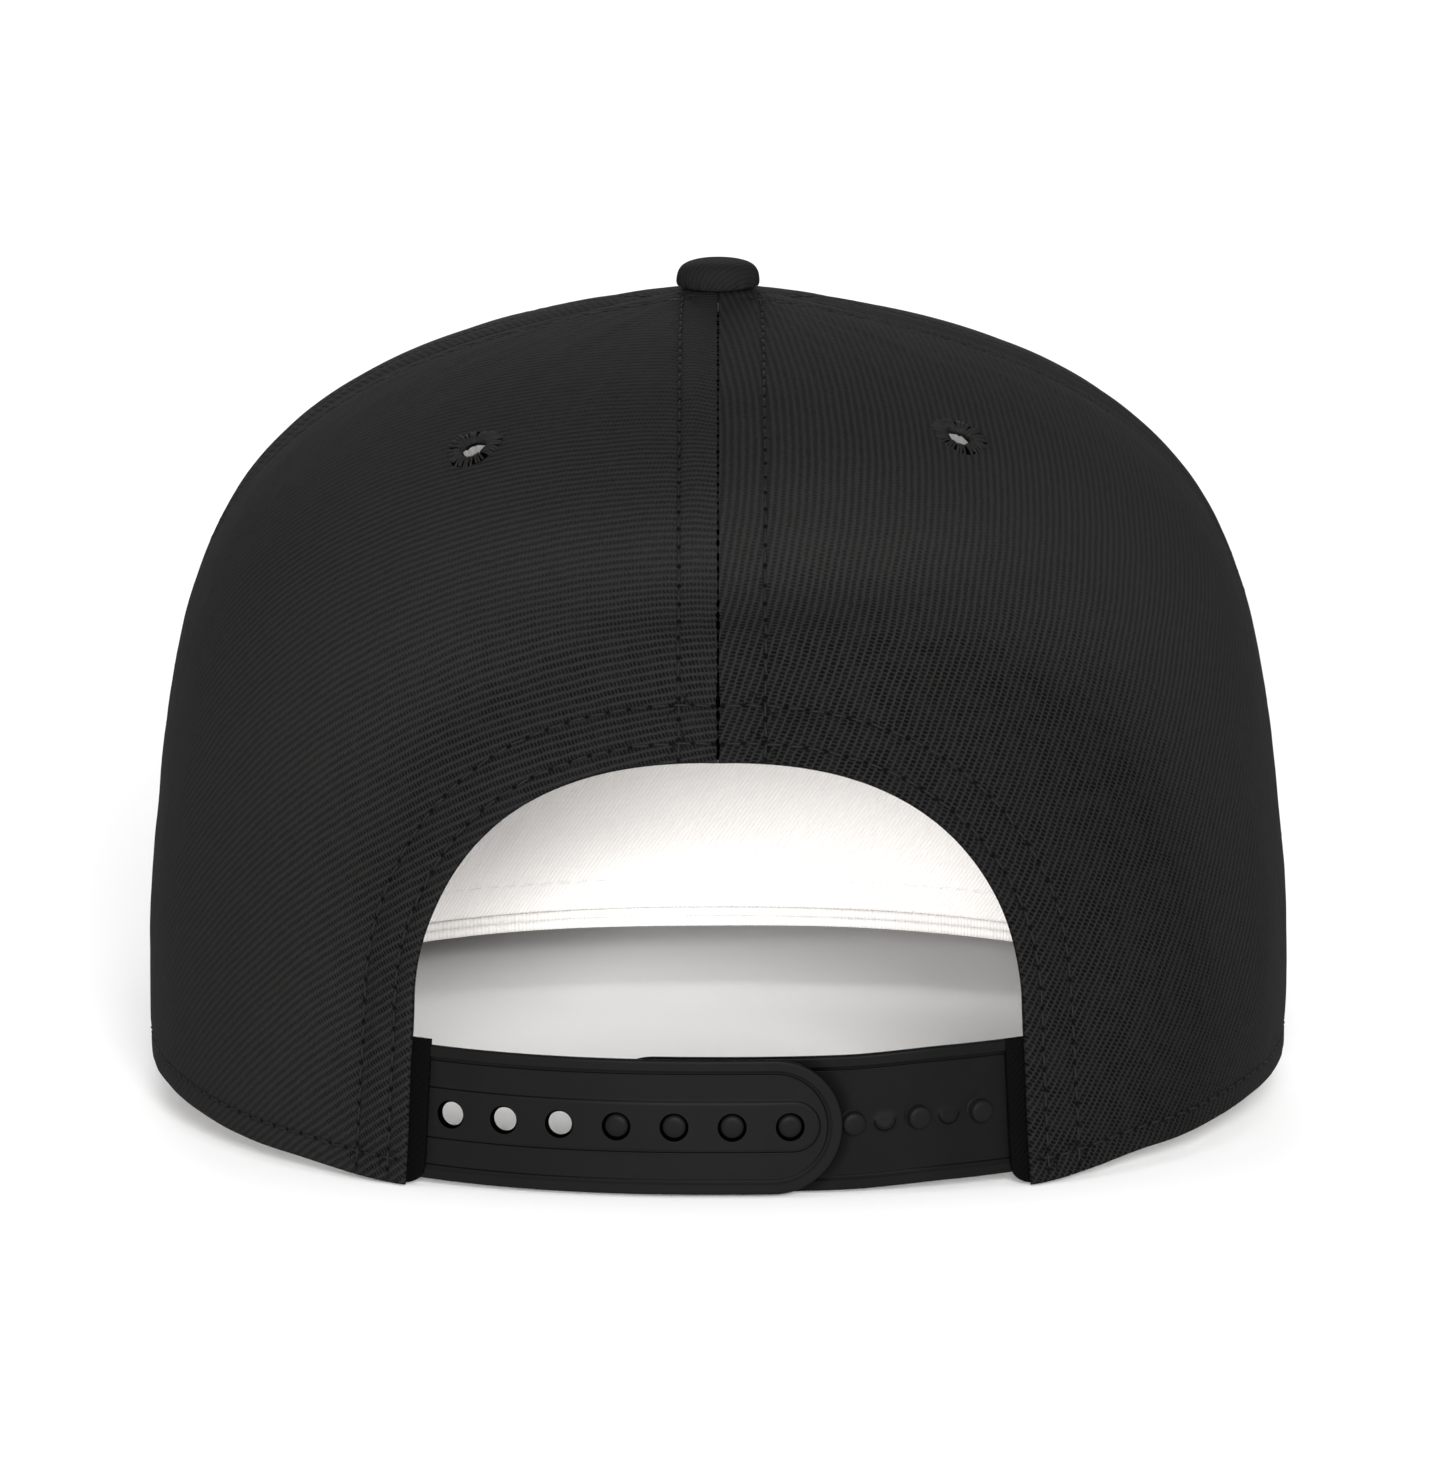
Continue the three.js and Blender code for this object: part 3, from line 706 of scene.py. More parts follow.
class Value:
    """A node's output, which adds and multiplies like a number."""

    def __init__(self, shader, socket):
        self.shader = shader
        self.socket = socket

    def __add__(self, other):
        return self.shader.math("ADD", self, other)

    def __sub__(self, other):
        return self.shader.math("SUBTRACT", self, other)

    def __rsub__(self, other):
        return self.shader.math("SUBTRACT", other, self)

    def __mul__(self, other):
        return self.shader.math("MULTIPLY", self, other)

    __radd__ = __add__
    __rmul__ = __mul__


class Shader:
    """A node material, with short ways to add and join its nodes."""

    def __init__(self, name):
        self.material = bpy.data.materials.new(name)
        self.material.use_nodes = True
        self.tree = self.material.node_tree
        self.surface = self.tree.nodes["Principled BSDF"]

    def set(self, socket, value):
        """Joins a value to a node's input, or sets the input's own number."""
        if isinstance(value, Value):
            self.tree.links.new(value.socket, socket)
        else:
            socket.default_value = value

    def node(self, kind, inputs=(), **settings):
        node = self.tree.nodes.new(kind)
        for key, value in settings.items():
            setattr(node, key, value)
        for key, value in dict(inputs).items():
            self.set(node.inputs[key], value)
        return node

    def value(self, output, kind, inputs=(), **settings):
        """A new node's output."""
        return Value(self, self.node(kind, inputs, **settings).outputs[output])

    def math(self, operation, *values):
        node = self.node("ShaderNodeMath", operation=operation)
        for socket, value in zip(node.inputs, values):
            self.set(socket, value)
        return Value(self, node.outputs[0])

    def wave(self, turns):
        """From 0 at whole numbers to 1 halfway between them."""
        return -0.5 * self.math("COSINE", turns * (2 * math.pi)) + 0.5

    def step(self, value, low, high):
        """From 0 at low to 1 at high, smoothly."""
        inputs = {"Value": value, "From Min": low, "From Max": high}
        return self.value("Result", "ShaderNodeMapRange", inputs, interpolation_type="SMOOTHSTEP")

    def parts(self, vector):
        node = self.node("ShaderNodeSeparateXYZ", {"Vector": vector})
        return [Value(self, output) for output in node.outputs]

    def pair(self, name):
        return self.parts(self.value("UV", "ShaderNodeUVMap", uv_map=name))[:2]

    def number(self, name):
        return self.value("Fac", "ShaderNodeAttribute", attribute_name=name)

    def place(self):
        return self.value("Object", "ShaderNodeTexCoord")

    def noise(self, size, detail=2.0, roughness=0.5):
        """Even noise from 0 to 1 with grains of about this size in millimetres."""
        grain = {"Scale": 1 / (size * MM), "Detail": detail, "Roughness": roughness}
        return self.value("Fac", "ShaderNodeTexNoise", {"Vector": self.place(), **grain})

    def ramp(self, share, low, high, warm=0.0):
        """A grey between two, by a share from 0 to 1."""
        node = self.node("ShaderNodeValToRGB", {"Fac": share})
        for element, grey in zip(node.color_ramp.elements, (low, high)):
            element.color = (grey * (1 + warm), grey, grey * (1 - warm), 1.0)
        return Value(self, node.outputs["Color"])

    def finish(self, colour, roughness, height=None, relief=1.0, **fixed):
        """Sets the surface: height is in millimetres, and relief makes it stronger or weaker."""
        self.set(self.surface.inputs["Base Color"], colour)
        self.set(self.surface.inputs["Roughness"], roughness)
        if height is not None:
            inputs = {"Height": height, "Distance": MM, "Strength": relief}
            self.set(self.surface.inputs["Normal"], self.value("Normal", "ShaderNodeBump", inputs))
        for name, value in fixed.items():
            self.set(self.surface.inputs[name.replace("_", " ")], value)
        return self.material


def twill(name, tone, rib_pitch=1.15, float_pitch=0.58, relief=1.0, sewn=True):
    """Twill with ribs along the UV map 'weave', and with painted shade in its valleys, the hollows between
    ribs and yarns, and the rows' needle holes.
    """
    s = Shader(name)
    across, along = s.pair("weave")
    drift = s.noise(9.0) - 0.5
    jitter = s.noise(0.8) - 0.5
    rib_turn = across * (1 / rib_pitch) + 0.45 * drift + 0.34 * jitter
    float_turn = along * (1 / float_pitch)
    rib = s.wave(rib_turn)
    yarn = s.wave(float_turn + 0.37 * s.math("ROUND", rib_turn) + 0.5 * jitter)
    strand = s.wave(float_turn + 1.3 * rib_turn + 0.6 * jitter)
    fibre = s.noise(0.26, 3.0, 0.7)
    cluster = s.step(s.noise(2.6, 3.0, 0.6), 0.38, 0.62)
    # Painted shade: where this share is high the cloth is darker all over and its hollows are wider and
    # darker
    pit_and_shade_share = 0.2 + 0.8 * s.number("pits")
    pit_and_shade_square = pit_and_shade_share * pit_and_shade_share
    between_ribs = s.step(rib - 0.26 * pit_and_shade_square, 0.63, 0.37)
    between_yarns = s.step(yarn - 0.22 * pit_and_shade_square, 0.63, 0.37)
    # The hollows between ribs and yarns are sunk in the bump and painted nearly black, as the shade in them
    shaded_pit = between_ribs * between_yarns * pit_and_shade_share * (0.72 + 0.28 * cluster)
    height = rib * (0.7 + 0.3 * strand) + 0.4 * fibre - 0.5 * shaded_pit
    patch = 0.86 + 0.28 * s.noise(38.0)
    light = (0.66 + 0.68 * s.noise(0.42, 3.0, 0.6)) * patch
    # Painted shade: the valleys between the ribs are darker than the rib tops
    valley_shade = 0.74 + 0.26 * s.step(rib + 0.3 * fibre, 0.0, 0.9)
    level = valley_shade * light * (1.0 - 0.28 * pit_and_shade_square) * (1.0 - 0.96 * shaded_pit)
    if sewn:
        distance, stitch = s.pair("row")
        near = s.number("row_near")
        offset = (stitch - s.math("ROUND", stitch)) * (0.8 * STITCH_PITCH)
        away = s.math("SQRT", offset * offset + distance * distance)
        # Painted shade in the needle holes and along the pressed rows, which are also sunk in the bump
        hole = s.step(away, 0.4, 0.15) * near
        press = s.step(s.math("ABSOLUTE", distance), 0.7, 0.1) * near
        level = level * (1.0 - 0.92 * hole) * (1.0 - 0.2 * press)
        height = height - 1.6 * hole - 0.4 * press
    colour = s.ramp(level, 0.0003, tone, 0.01)
    return s.finish(colour, 0.84 + 0.14 * fibre, height * (0.15 * relief), 0.85, Specular_IOR_Level=0.05)


def thread(name, tone, gloss=0.15, dark=0.2):
    """Twisted sewing thread, whose folds are painted darker as shade, by a share."""
    s = Shader(name)
    x, y, z = s.parts(s.place())
    twist = s.wave((x + y + z) * (1 / (0.42 * MM)) + s.noise(1.2))
    fibre = s.noise(0.2, 2.0, 0.6)
    # Painted shade: the level follows the twist's bump, darker in its grooves
    level = (0.6 + 0.4 * twist) * (0.75 + 0.5 * fibre)
    colour = s.ramp(level, dark * tone, tone)
    height = 0.06 * twist + 0.04 * fibre
    return s.finish(colour, 0.55 + 0.2 * fibre, height, 0.8, Specular_IOR_Level=gloss)


def plastic(name, tone, gloss):
    """Satin moulded plastic with a fine grain and faint rubbing, with thin dark lines along the UV map
    'lines' painted as shade in its grooves, and painted shade by the attribute 'shade'.
    """
    s = Shader(name)
    grain = s.noise(0.22, 2.0, 0.6)
    cloud = s.noise(11.0, 3.0)
    rub = s.step(s.noise(2.4, 4.0, 0.65), 0.55, 0.8)
    inside, band = s.pair("lines")
    # Painted shade: thin near-black lines at the foot of the rims, round the central band and under the
    # half rounds
    rim_groove_shade = s.step(s.math("ABSOLUTE", inside - (STRAP_RIM_WIDTH + 0.4)), 0.14, 0.05)
    band_groove_shade = s.step(s.math("ABSOLUTE", band), 0.15, 0.06)
    line = s.math("MAXIMUM", rim_groove_shade, band_groove_shade)
    level = (0.7 + 0.3 * cloud + 0.12 * rub) * (1.0 - 0.9 * line) * (1.0 - 0.85 * s.number("shade"))
    colour = s.ramp(level, 0.0002, tone)
    roughness = 0.4 + 0.1 * grain + 0.08 * rub
    height = 0.012 * grain + 0.03 * cloud - 0.05 * line
    return s.finish(colour, roughness, height, 0.7, Specular_IOR_Level=gloss)


def cotton(name, tone, rib=0.7, warm=0.03):
    """Pale cotton with fine ribs, whose UV map 'weave' runs along and across it; the grooves between its
    ribs are painted a little darker as shade.
    """
    s = Shader(name)
    along, up = s.pair("weave")
    jitter = s.noise(0.8) - 0.5
    ribs = s.wave(along * (1 / rib) + up * (0.7 / rib) + 0.3 * jitter)
    picks = s.wave(up * (1 / (0.6 * rib)) + 0.3 * jitter)
    fibre = s.noise(0.3, 3.0, 0.7)
    height = ribs * (0.7 + 0.3 * picks) + 0.4 * fibre
    # Painted shade: the level follows the bump, so the grooves are darker than the rib tops
    level = (0.78 + 0.18 * height) * (0.92 + 0.14 * s.noise(30.0, 3.0))
    colour = s.ramp(level, 0.45, tone, warm)
    return s.finish(colour, 0.85 + 0.1 * fibre, 0.12 * height, 0.8,
                    Sheen_Weight=0.1, Sheen_Roughness=0.5, Specular_IOR_Level=0.2)


def floor_paint(name):
    s = Shader(name)
    cloud = s.noise(400.0)
    return s.finish(s.ramp(cloud, 0.92, 0.95), 0.85 + 0.1 * cloud, Specular_IOR_Level=0.1)


CLOTH_TWILL = twill("black_twill", 0.0102)
BUTTON_TWILL = twill("button_twill", 0.0068, 0.8, 0.5, 0.5, sewn=False)
# Painted shade: the turned-in cloth beside the opening's foot, nearly black where the outer cloth's edge
# shades it
FACING_SHADE_TWILL = twill("shaded_facing", 0.0003, 0.8, 0.5, sewn=False)
THREAD = thread("black_thread", 0.0092, 0.05)
EYELET_THREAD = thread("eyelet_thread", 0.0096, 0.05)
# Painted shade: nearly black thread for the seams' depths and the eyelets' pads
SEAM_SHADE_THREAD = thread("seam_shade_thread", 0.0003, 0.0)
STRAP_PLASTIC = plastic("black_plastic", 0.0054, 0.025)
# Painted shade: the same plastic made nearly black, for the walls of the holes in the holed half
BORE_SHADE_PLASTIC = plastic("bore_shade_plastic", 0.0004, 0.0)
BAND_COTTON = cotton("band_cotton", 0.92)
BACKING = cotton("white_backing", 0.92, 1.3, 0.01)
PALE_THREAD = thread("pale_thread", 0.92, dark=0.8)


def keep(thing, slot, *nodes):
    """Puts a finished piece on the cap."""
    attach(thing, "root")
    if nodes:
        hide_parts(*nodes)
    return thing


def on_crown(points):
    """Angle and place of the crown point nearest to each given point, by its direction and height."""
    angle = np.degrees(np.arctan2(points[:, 0], -points[:, 1]))
    share = points[:, 2] / CROWN_HEIGHT
    for _ in range(3):
        lift = rim_lift(angle) * (1 - share) ** 2
        share = np.clip((points[:, 2] - lift) / CROWN_HEIGHT, 0, 1)
    return angle, place_at_height(share)


def crown_line(angle, place):
    """Points and normals of a line on the crown."""
    return crown_point(angle, place), normal_at(angle, place)


def seam_row(seam, offset, low, rows):
    """A row beside a seam: offset is in millimetres, positive toward larger angles."""
    places = np.linspace(low, ROW_TOP, 400)
    distance = radius(seam, places)
    below_button = distance > ROW_TOP_RADIUS
    places, distance = places[below_button], distance[below_button]
    angle = seam + np.degrees(np.arcsin(np.clip(offset / distance, -0.95, 0.95)))
    angle = (angle + 180.0) % 360.0 - 180.0
    rows.add(*crown_line(angle, places))


def hem_row(start, end, rows):
    angle = np.linspace(start, end, 300)
    rows.add(*crown_line(angle, np.full(300, place_at_height(HEM_ROW / CROWN_HEIGHT))))


def pressed(distance, stitches, depth, rise):
    """How deep a row presses the cloth, and how far the cloth rises again between its needle holes."""
    swell = rise * np.cos(2 * math.pi * stitches) * bell(distance / 1.5)
    return depth * bell(distance / NEEDLE_HALF_WIDTH) - swell


def pit_and_shade_map(points):
    """How much painted shade darkens the cloth and how wide its hollows grow: most beside the back opening,
    more on the wearer's right, low on the right and on the top, and least at the front.
    """
    x, y, z = points.T
    across = np.abs(x + 8) / 62
    beside = np.exp(-np.maximum(across**2.4 + (np.maximum(z, 0) / 84) ** 4 - 0.9, 0) * 1.6)
    right = 0.82 + 0.18 * smooth((4 - x) / 12)
    low_right = 0.28 * bell((x + 72) / 26) * bell((z - 18) / 30)
    top = 0.5 * smooth((z - 92) / 20)
    return np.clip(beside * right + low_right + top, 0.12, 1.0) * (y > 0) + 0.12 * (y <= 0)


def without_eyelets(present, points):
    """The cells of a panel that are present and outside the eyelets' holes."""
    for _, turn, height in EYELETS:
        centre = crown_point(turn, place_at_height(height))
        away = np.linalg.norm(points - centre, axis=-1)
        middles = (away[:-1, :-1] + away[1:, :-1] + away[:-1, 1:] + away[1:, 1:]) / 4
        present = present & (middles > EYELET_HOLE_RADIUS)
    return present


def cloth_piece(name, angle, place, present, rims, seams, middle, rib_angle, rows):
    """One panel of the crown, with its sewn rows pressed in and its edges rounded."""
    grid = crown_point(angle, place)
    flat = grid.reshape(-1, 3)
    normals = normal_at(angle, place).reshape(-1, 3)
    distance, stitches, near = rows.measure(flat)
    press = pressed(distance, stitches, 0.2, 0.04)
    rim_away = border_distance(flat, [grid[line] for line in rims])
    seam_away = border_distance(flat, [grid[line] for line in seams])
    edge = np.maximum(rounded(rim_away, CLOTH), rounded(seam_away, CLOTH, 0.28, 0.5))
    outer = flat - normals * (press * (1 - edge) + edge * CLOTH / 2)[:, None]
    inner = flat - normals * (CLOTH - edge * CLOTH / 2)[:, None]
    faces, count = shell_faces(without_eyelets(present, grid))
    used, compact = np.unique(faces, return_inverse=True)
    mesh = mesh_of(
        name, np.concatenate([outer, inner])[used], compact.reshape(faces.shape).tolist(),
        weave=both(weave_map(angle, place, middle, rib_angle))[used],
        row=both(np.stack([distance, stitches], -1))[used],
        row_near=np.concatenate([near, 0 * near])[used],
        # Painted shade and hollows of the weave, by the map above
        pits=both(pit_and_shade_map(flat))[used],
    )
    lined = (rim_away > BACKING_FROM_EDGE) & (seam_away > BACKING_FROM_SEAM)
    inside = np.zeros(len(faces), int)
    inside[-count:] = lined[faces[-count:] - angle.size].all(axis=1)
    panel = new_object(name, mesh, CLOTH_TWILL, BACKING)
    mesh.polygons.foreach_set("material_index", inside)
    keep(panel, "cloth", name)
    thread_piece("stitches_" + name, THREAD, *rows.threads())


def thread_piece(name, material, points, faces):
    keep(new_object(name, mesh_of(name, points, faces), material), "thread")


def seam_turn(angle, place):
    return np.degrees(np.arcsin(SEAM_GAP / 2 / radius(angle, place)))


def plain_panel(name, start, end, coarse, rib_angle):
    """A panel from one seam to another at full height."""
    middle = (start + end) / 2
    width = math.radians(end - start) * HALF_WIDTH
    _, length = arc_place(middle, 0, TOP_PLACE, 0.0)
    places, _ = arc_place(middle, 0, TOP_PLACE, graded(length, coarse, EDGE_STEP, coarse))
    shares = graded(width, coarse, EDGE_STEP, EDGE_STEP)
    place = np.repeat(places[:, None], len(shares), 1)
    angle = mix(start + seam_turn(start, place), end - seam_turn(end, place), shares)
    every = slice(None)
    rows = Rows()
    seam_row(start, SEAM_ROW, ROW_FOOT, rows)
    seam_row(end, -SEAM_ROW, ROW_FOOT, rows)
    hem_row(start + HEM_MARGIN, end - HEM_MARGIN, rows)
    rims = [(0, every), (-1, every)]
    seams = [(every, 0), (every, -1)]
    cloth_piece(name, angle, place, every_cell(place), rims, seams, middle, rib_angle, rows)


def arch_outline(turn, least):
    """Half-width, of at least so much, and height of the opening's round top as it turns to its middle."""
    x = ARCH_HALF_WIDTH * np.cos(turn) ** (2 / ARCH_POWER)
    rise = np.sin(turn) ** (2 / ARCH_POWER)
    return np.maximum(x, least), ARCH_SPRING_HEIGHT + (ARCH_TOP_HEIGHT - ARCH_SPRING_HEIGHT) * rise


def arch_edge(side, rows, inset):
    """A row of stitches a given distance outside the opening's edge, from the rim to the middle seam."""
    foot_z = np.linspace(0, ARCH_SPRING_HEIGHT, 60)
    foot_x = mix(ARCH_FOOT_HALF_WIDTH, ARCH_HALF_WIDTH, foot_z / ARCH_SPRING_HEIGHT)
    arch_x, arch_z = arch_outline(np.linspace(0, math.pi / 2, 240)[1:], 0.01)
    place = place_at_height(np.concatenate([foot_z, arch_z]) / CROWN_HEIGHT)
    points, normals = crown_line(side * angle_at_x(np.concatenate([foot_x, arch_x]), place), place)
    outward = unit(np.cross(normals, directions(points))) * side
    shifted = points + outward * inset
    kept = (side * shifted[:, 0] > ARCH_ROW_FROM_SEAM) & (shifted[:, 2] > ARCH_ROW_FROM_RIM)
    rows.add(*crown_line(*on_crown(shifted[kept])))


def back_grid():
    """Angles, places and present cells of the left back panel, with the arch's first row and column.

    Columns up to that one run from the side seam to the opening's foot, and the others over its arch."""
    spring = float(place_at_height(ARCH_SPRING_HEIGHT / CROWN_HEIGHT))
    spring_angle = float(angle_at_x(ARCH_HALF_WIDTH, spring))
    foot_steps = graded(ARCH_SPRING_HEIGHT, BACK_STEP, EDGE_STEP, BACK_STEP)
    foot_places, _ = arc_place(spring_angle, 0, spring, foot_steps)
    foot_rows = len(foot_places) - 1
    upper_steps = graded(UPPER_BACK_LENGTH, BACK_STEP, EDGE_STEP, BACK_STEP)
    upper_places, _ = arc_place(spring_angle, spring, TOP_PLACE, upper_steps)
    side_places = np.concatenate([foot_places, upper_places[1:]])
    side_width = math.radians(spring_angle - SIDE_SEAM_ANGLE) * HALF_WIDTH
    side_shares = graded(side_width, BACK_STEP, EDGE_STEP, EDGE_STEP)
    foot_share = np.minimum(side_places / spring, 1)
    foot_x = mix(ARCH_FOOT_HALF_WIDTH, ARCH_HALF_WIDTH, foot_share)
    edge = np.where(foot_share < 1, angle_at_x(foot_x, np.minimum(side_places, spring)), spring_angle)
    seam = SIDE_SEAM_ANGLE + seam_turn(SIDE_SEAM_ANGLE, side_places)
    side_angle = mix(seam[:, None], edge[:, None], side_shares)
    arch_turn = np.concatenate([np.linspace(0, 1, 97)[1:-1], [0.9931, 0.997, 0.999, 1.0]])
    arch_x, arch_z = arch_outline(arch_turn * math.pi / 2, SEAM_GAP / 2)
    low_place = place_at_height(arch_z / CROWN_HEIGHT)
    above = np.maximum(side_places - spring, 0)[:, None] / (TOP_PLACE - spring)
    arch_place = mix(low_place, TOP_PLACE, above)
    high_angle = mix(spring_angle, 180.0, arch_turn)
    arch_angle = mix(angle_at_x(arch_x, low_place), high_angle, smooth(above * 1.5))
    arch_angle = np.minimum(arch_angle, 180.0 - seam_turn(180.0, arch_place))
    place = np.concatenate([np.repeat(side_places[:, None], len(side_shares), 1), arch_place], 1)
    angle = np.concatenate([side_angle, arch_angle], 1)
    present = every_cell(place)
    foot_column = len(side_shares) - 1
    present[:foot_rows, foot_column:] = False
    return angle, place, present, foot_rows, foot_column


def back_panel(name, side, rib_angle, seam_offset):
    """A panel from the side seam to the opening's foot, and over the opening's arch to the middle seam."""
    angle, place, present, foot_row, foot_column = back_grid()
    middle_seam_foot = place[foot_row, -1] + 0.02
    before, after = slice(0, foot_column + 1), slice(foot_column, None)
    side_seam, middle_seam = 0, -1
    if side < 0:
        place, angle, present = place[:, ::-1], -angle[:, ::-1], present[:, ::-1]
        foot_column = place.shape[1] - 1 - foot_column
        before, after = slice(foot_column, None), slice(0, foot_column + 1)
        side_seam, middle_seam = -1, 0
    every = slice(None)
    rims = [(0, before), (slice(0, foot_row + 1), foot_column), (foot_row, after), (-1, every)]
    seams = [(every, side_seam), (slice(foot_row, None), middle_seam)]
    rows = Rows()
    seam_row(side * 180.0, -side * seam_offset, middle_seam_foot, rows)
    seam_row(side * SIDE_SEAM_ANGLE, side * SEAM_ROW, ROW_FOOT, rows)
    for inset in ARCH_ROWS:
        arch_edge(side, rows, inset)
    foot_angle = float(angle_at_x(ARCH_FOOT_HALF_WIDTH + 1.2, 0.0))
    hem_row(side * (SIDE_SEAM_ANGLE + HEM_MARGIN), side * foot_angle, rows)
    middle = side * (SIDE_SEAM_ANGLE + 180.0) / 2
    cloth_piece(name, angle, place, present, rims, seams, middle, rib_angle, rows)


back_panel("back_panel_left", 1, 52.0, 5.8)
back_panel("back_panel_right", -1, 38.0, 7.0)
plain_panel("side_panel_left", FRONT_SEAM_ANGLE, SIDE_SEAM_ANGLE, SIDE_STEP, 50.0)
plain_panel("side_panel_right", -SIDE_SEAM_ANGLE, -FRONT_SEAM_ANGLE, SIDE_STEP, 40.0)
plain_panel("front_panel", -FRONT_SEAM_ANGLE, FRONT_SEAM_ANGLE, FRONT_STEP, 45.0)


def seam_line(seam, low, high, count):
    """Points and normals of a seam between two heights."""
    places = np.linspace(*place_at_height(np.array([low, high]) / CROWN_HEIGHT), count)
    return crown_line(np.full(count, seam), places)


def seam_stitches():
    """The short stitches that show deep in the seams, thicker low in the middle seam at the back,
    near-black as painted shade.
    """
    rows = Rows()
    merged_top, thick_top = 86.0, 95.0
    stretches = [(seam, 1.0, SEAM_TOP, 1.25, 1.0) for seam in SEAMS if seam != 180.0]
    stretches.append((180.0, ARCH_TOP_HEIGHT + 0.3, merged_top, 2.05, 2.1))
    stretches.append((180.0, merged_top, thick_top, 1.6, 1.9))
    stretches.append((180.0, thick_top, SEAM_TOP, 0.95, 1.6))
    for seam, low, high, stitch, girth in stretches:
        points, normals = seam_line(seam, low, high, 400)
        rows.add(points - normals * 0.07 * girth, normals, SEAM_STITCH_PITCH, stitch, girth, 4.0)
    thread_piece("shade_stitches_in_seams", SEAM_SHADE_THREAD, *rows.threads())


def seam_cores():
    """Near-black cords deep in the seams and under the front rim, painted as their shade."""
    parts = []
    for seam in SEAMS:
        low = ARCH_TOP_HEIGHT + 0.5 if seam == 180.0 else 1.0
        points, normals = seam_line(seam, low, SEAM_TOP, 200)
        parts.append(tube(points - normals * SEAM_CORE_DEPTH, SEAM_CORE_RADIUS))
    root = wall_point(np.linspace(-PEAK_ANGLE, PEAK_ANGLE, 300), ROOT_CORE_DEPTH, 0.0)
    parts.append(tube(root - [0, 0, GAP / 2], ROOT_CORE_RADIUS))
    thread_piece("shade_cores_of_seams", SEAM_SHADE_THREAD, *joined(parts))


seam_stitches()
seam_cores()


def facing(name, side):
    """The turned-in edge of the cloth beside the opening's foot, a little past the outer cloth, painted
    nearly black as shade.
    """
    from_edge = np.linspace(0, FACING_WIDTH, 31)
    near = np.clip(FACING_CORNER - from_edge, 0, FACING_CORNER)
    low = FACING_CORNER - np.sqrt(FACING_CORNER**2 - near**2) + 0.15
    height = mix(low, ARCH_SPRING_HEIGHT + 0.6, np.linspace(0, 1, 61)[:, None])
    x = mix(ARCH_FOOT_HALF_WIDTH, ARCH_HALF_WIDTH, np.clip(height / ARCH_SPRING_HEIGHT, 0, 1))
    place = place_at_height(height / CROWN_HEIGHT)
    angle = side * angle_at_x(x + from_edge - FACING_OVERLAP, place)
    if side > 0:
        angle, place = angle[:, ::-1], place[:, ::-1]
    sheets = [crown_point(angle, place, depth).reshape(-1, 3) for depth in FACING_DEPTHS]
    faces, _ = shell_faces(every_cell(place))
    weave = both(weave_map(angle, place, side * 135.0, 45.0))
    mesh = mesh_of(name, np.concatenate(sheets), faces.tolist(), weave=weave)
    keep(new_object(name, mesh, FACING_SHADE_TWILL), "cloth")


facing("facing_left", 1)
facing("facing_right", -1)


def peak_grid(rows, columns):
    """Top points of the peak from under the front rim to its edge: rows as shares, columns from -1 to 1."""
    corner_x, corner_y, _ = plain_point(PEAK_ANGLE, np.array(0.0))
    nose = -FRONT_REACH - PEAK_LENGTH
    shoulder = (corner_x + PEAK_FLARE, corner_y - PEAK_SHOULDER)
    hull = np.array([(corner_x, corner_y), shoulder, (PEAK_NOSE, nose), (0.0, nose)])
    t = (1 - np.abs(columns))[:, None]
    weights = ((1 - t) ** 3, 3 * (1 - t) ** 2 * t, 3 * (1 - t) * t**2, t**3)
    edge = sum(weight * point for weight, point in zip(weights, hull))
    edge[:, 0] *= np.sign(columns)
    inner = wall_point(columns * PEAK_ANGLE, CLOTH, 0.0)
    x, y = (mix(inner[:, axis], edge[:, axis], rows[:, None]) for axis in range(2))
    forward = np.hypot(x - inner[:, 0], y - inner[:, 1])
    dip = forward * math.tan(math.radians(PEAK_DIP_ANGLE))
    bow = PEAK_BOW * (forward / PEAK_LENGTH) * (x / HALF_WIDTH) ** 2
    return np.stack([x, y, inner[:, 2] - GAP - dip - bow], -1)


def peak_rows(face):
    """Rows of stitches that follow the peak's edge, on its upper or lower face."""
    in_plan = (1, 1, 0)
    fine = peak_grid(np.linspace(0, 1, 60), np.linspace(-1, 1, 181))
    flat = fine.reshape(-1, 3)
    lookup = tree_of(flat * in_plan)
    root = border_tree([fine[0] * in_plan])
    edge = even_line(fine[-1], 1.0)
    tangents = directions(edge)
    inward = unit(np.stack([-tangents[:, 1], tangents[:, 0], 0 * tangents[:, 0]], -1))
    if inward[len(inward) // 2][1] < 0:
        inward = -inward

    def is_ahead(point):
        """Whether a point is clear of the crown."""
        nearest, _, away = root.find(point * in_plan)
        return point[1] < nearest[1] - 0.5 and away > 2.6

    def height(point):
        near = lookup.find_n(point * in_plan, 4)
        weights = np.array([1 / (away + 0.05) for _, _, away in near])
        return float(weights @ np.array([flat[pick][2] for _, pick, _ in near]) / weights.sum())

    rows = Rows()
    for number in range(PEAK_ROW_COUNT):
        line = edge + inward * (PEAK_FIRST_ROW + number * PEAK_ROW_PITCH)
        line = line[np.array([is_ahead(point) for point in line])]
        if len(line) < 12:
            continue
        line[:, 2] = [height(point) for point in line]
        if face < 0:
            line[:, 2] -= PEAK_THICKNESS
        up = unit(np.array([0.0, -0.14, 1.0]))
        rows.add(line, np.tile(face * up, (len(line), 1)))
    return rows


